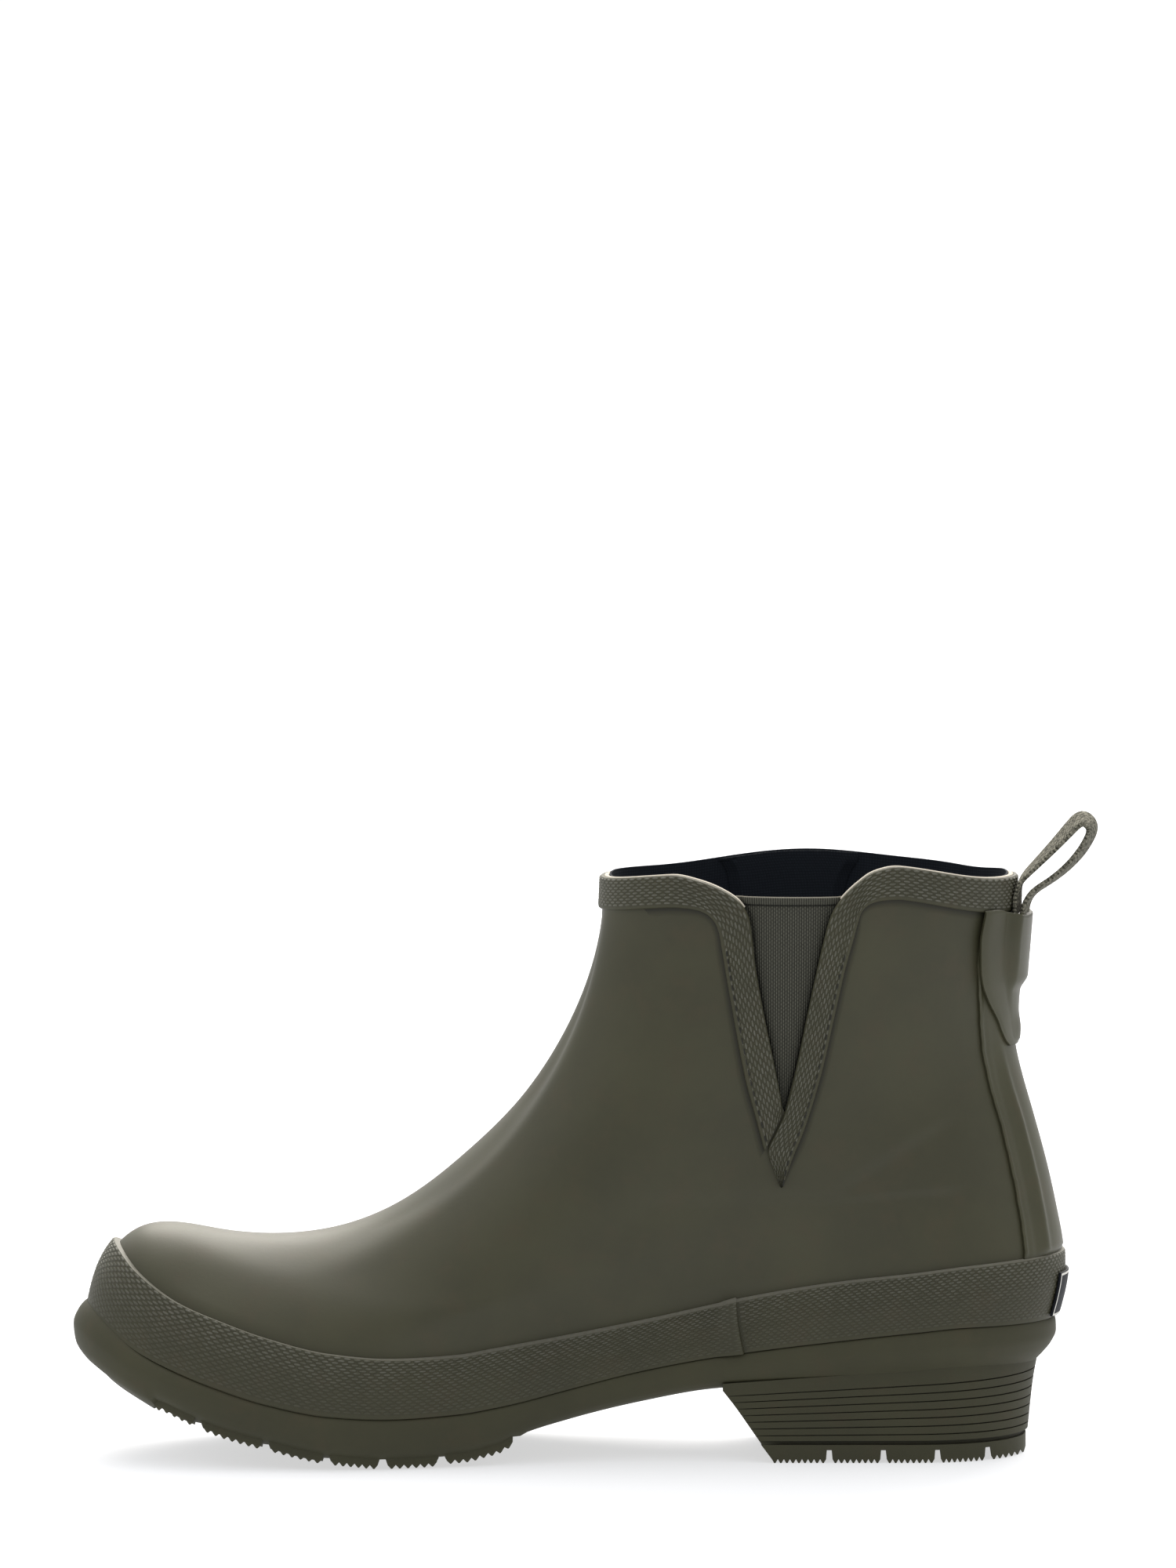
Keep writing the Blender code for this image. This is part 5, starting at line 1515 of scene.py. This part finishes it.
make_upper()
make_lining()
make_foxing()
front_lines = tape_lines(FRONT_LEG, False)
back_lines = tape_lines(BACK_LEG, True)
make_tape("tape_front", front_lines, "collar_binding_front")
make_tape("tape_back", back_lines, "collar_binding_back")
make_stitches("stitches_front", front_lines)
make_stitches("stitches_back", back_lines)
make_edge("edge_front", front_lines)
make_edge("edge_back", back_lines)
for name, outer, node in (("elastic_inner", False, "gore_inner"), ("elastic_outer", True, "gore_outer")):
    make_gore(name, outer, node)
    make_backing(name + "_backing", outer)
make_stay()
make_tab()
make_loop()
make_label()
sole_near, sole_far = make_sole()
make_forefoot_tread(sole_near, sole_far)
make_top_lift()
make_heel()
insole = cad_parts["insole"]
insole.data.materials.clear()
insole.data.materials.append(insole_cloth)


# Studio

def face_towards(thing, aim):
    thing.rotation_euler = (Vector(aim) - thing.location).to_track_quat("-Z", "Y").to_euler()


def studio_floor():
    floor = fresh("studio_floor", bpy.ops.mesh.primitive_plane_add, size=60, location=(0, 0, 0))
    finish = Finish("floor_paper", 0.8, Specular_IOR_Level=0.1)
    finish.put(Base_Color=finish.blend(finish.noise(400.0), (0.34, 0.35, 0.37, 1), (0.36, 0.37, 0.39, 1)))
    finish.put(Emission_Color=(1, 1, 1, 1), Emission_Strength=0.6)
    floor.data.materials.append(finish.material)


def soft_light(name, place, aim, wide, tall, power):
    light = fresh(name, bpy.ops.object.light_add, type="AREA", location=place)
    light.data.shape = "RECTANGLE"
    light.data.size = wide
    light.data.size_y = tall
    light.data.energy = power
    light.data.color = WARM_LIGHT
    face_towards(light, aim)


def studio_world():
    """Pale room: bright behind and above, dim in front, plain white where the camera looks."""
    world = bpy.data.worlds.new("pale_room")
    bpy.context.scene.world = world
    world.use_nodes = True
    start = Term(world.node_tree)
    _, back, up = start.node("TexCoord", output="Generated").split()
    glow = (back * 0.25 + up * 0.9).step(-0.5, 0.95) * 1.15 + 0.22
    seen = start.node("LightPath", output="Is Camera Ray")
    background = world.node_tree.nodes["Background"]
    start.feed(background.inputs[0], (1, 1, 1, 1))
    start.feed(background.inputs[1], glow * (1 - seen) + seen * 1.05)


def studio_camera():
    """Long lens at the inner side of the boot, looking down a little as in the photograph."""
    aim = Vector((0.0008, 0.0, 0.085))
    rise = math.radians(7.5)
    distance = 4.933
    place = aim + distance * Vector((0, -math.cos(rise), math.sin(rise)))
    camera = fresh("Camera", bpy.ops.object.camera_add, location=place)
    camera.data.lens = 400
    camera.data.clip_end = 100
    camera.data.sensor_width = 36
    camera.data.shift_y = 0.2345
    face_towards(camera, aim)
    bpy.context.scene.camera = camera


studio_floor()
studio_world()
soft_light("overhead", (-0.1, 0.4, 1.5), (0.0, 0.0, 0.05), wide=1.6, tall=1.0, power=12)
soft_light("back_glow", (0.2, 1.4, 1.25), (-0.05, 0.0, 0.1), wide=1.6, tall=0.9, power=48)
studio_camera()
bpy.context.scene.view_settings.view_transform = "Standard"
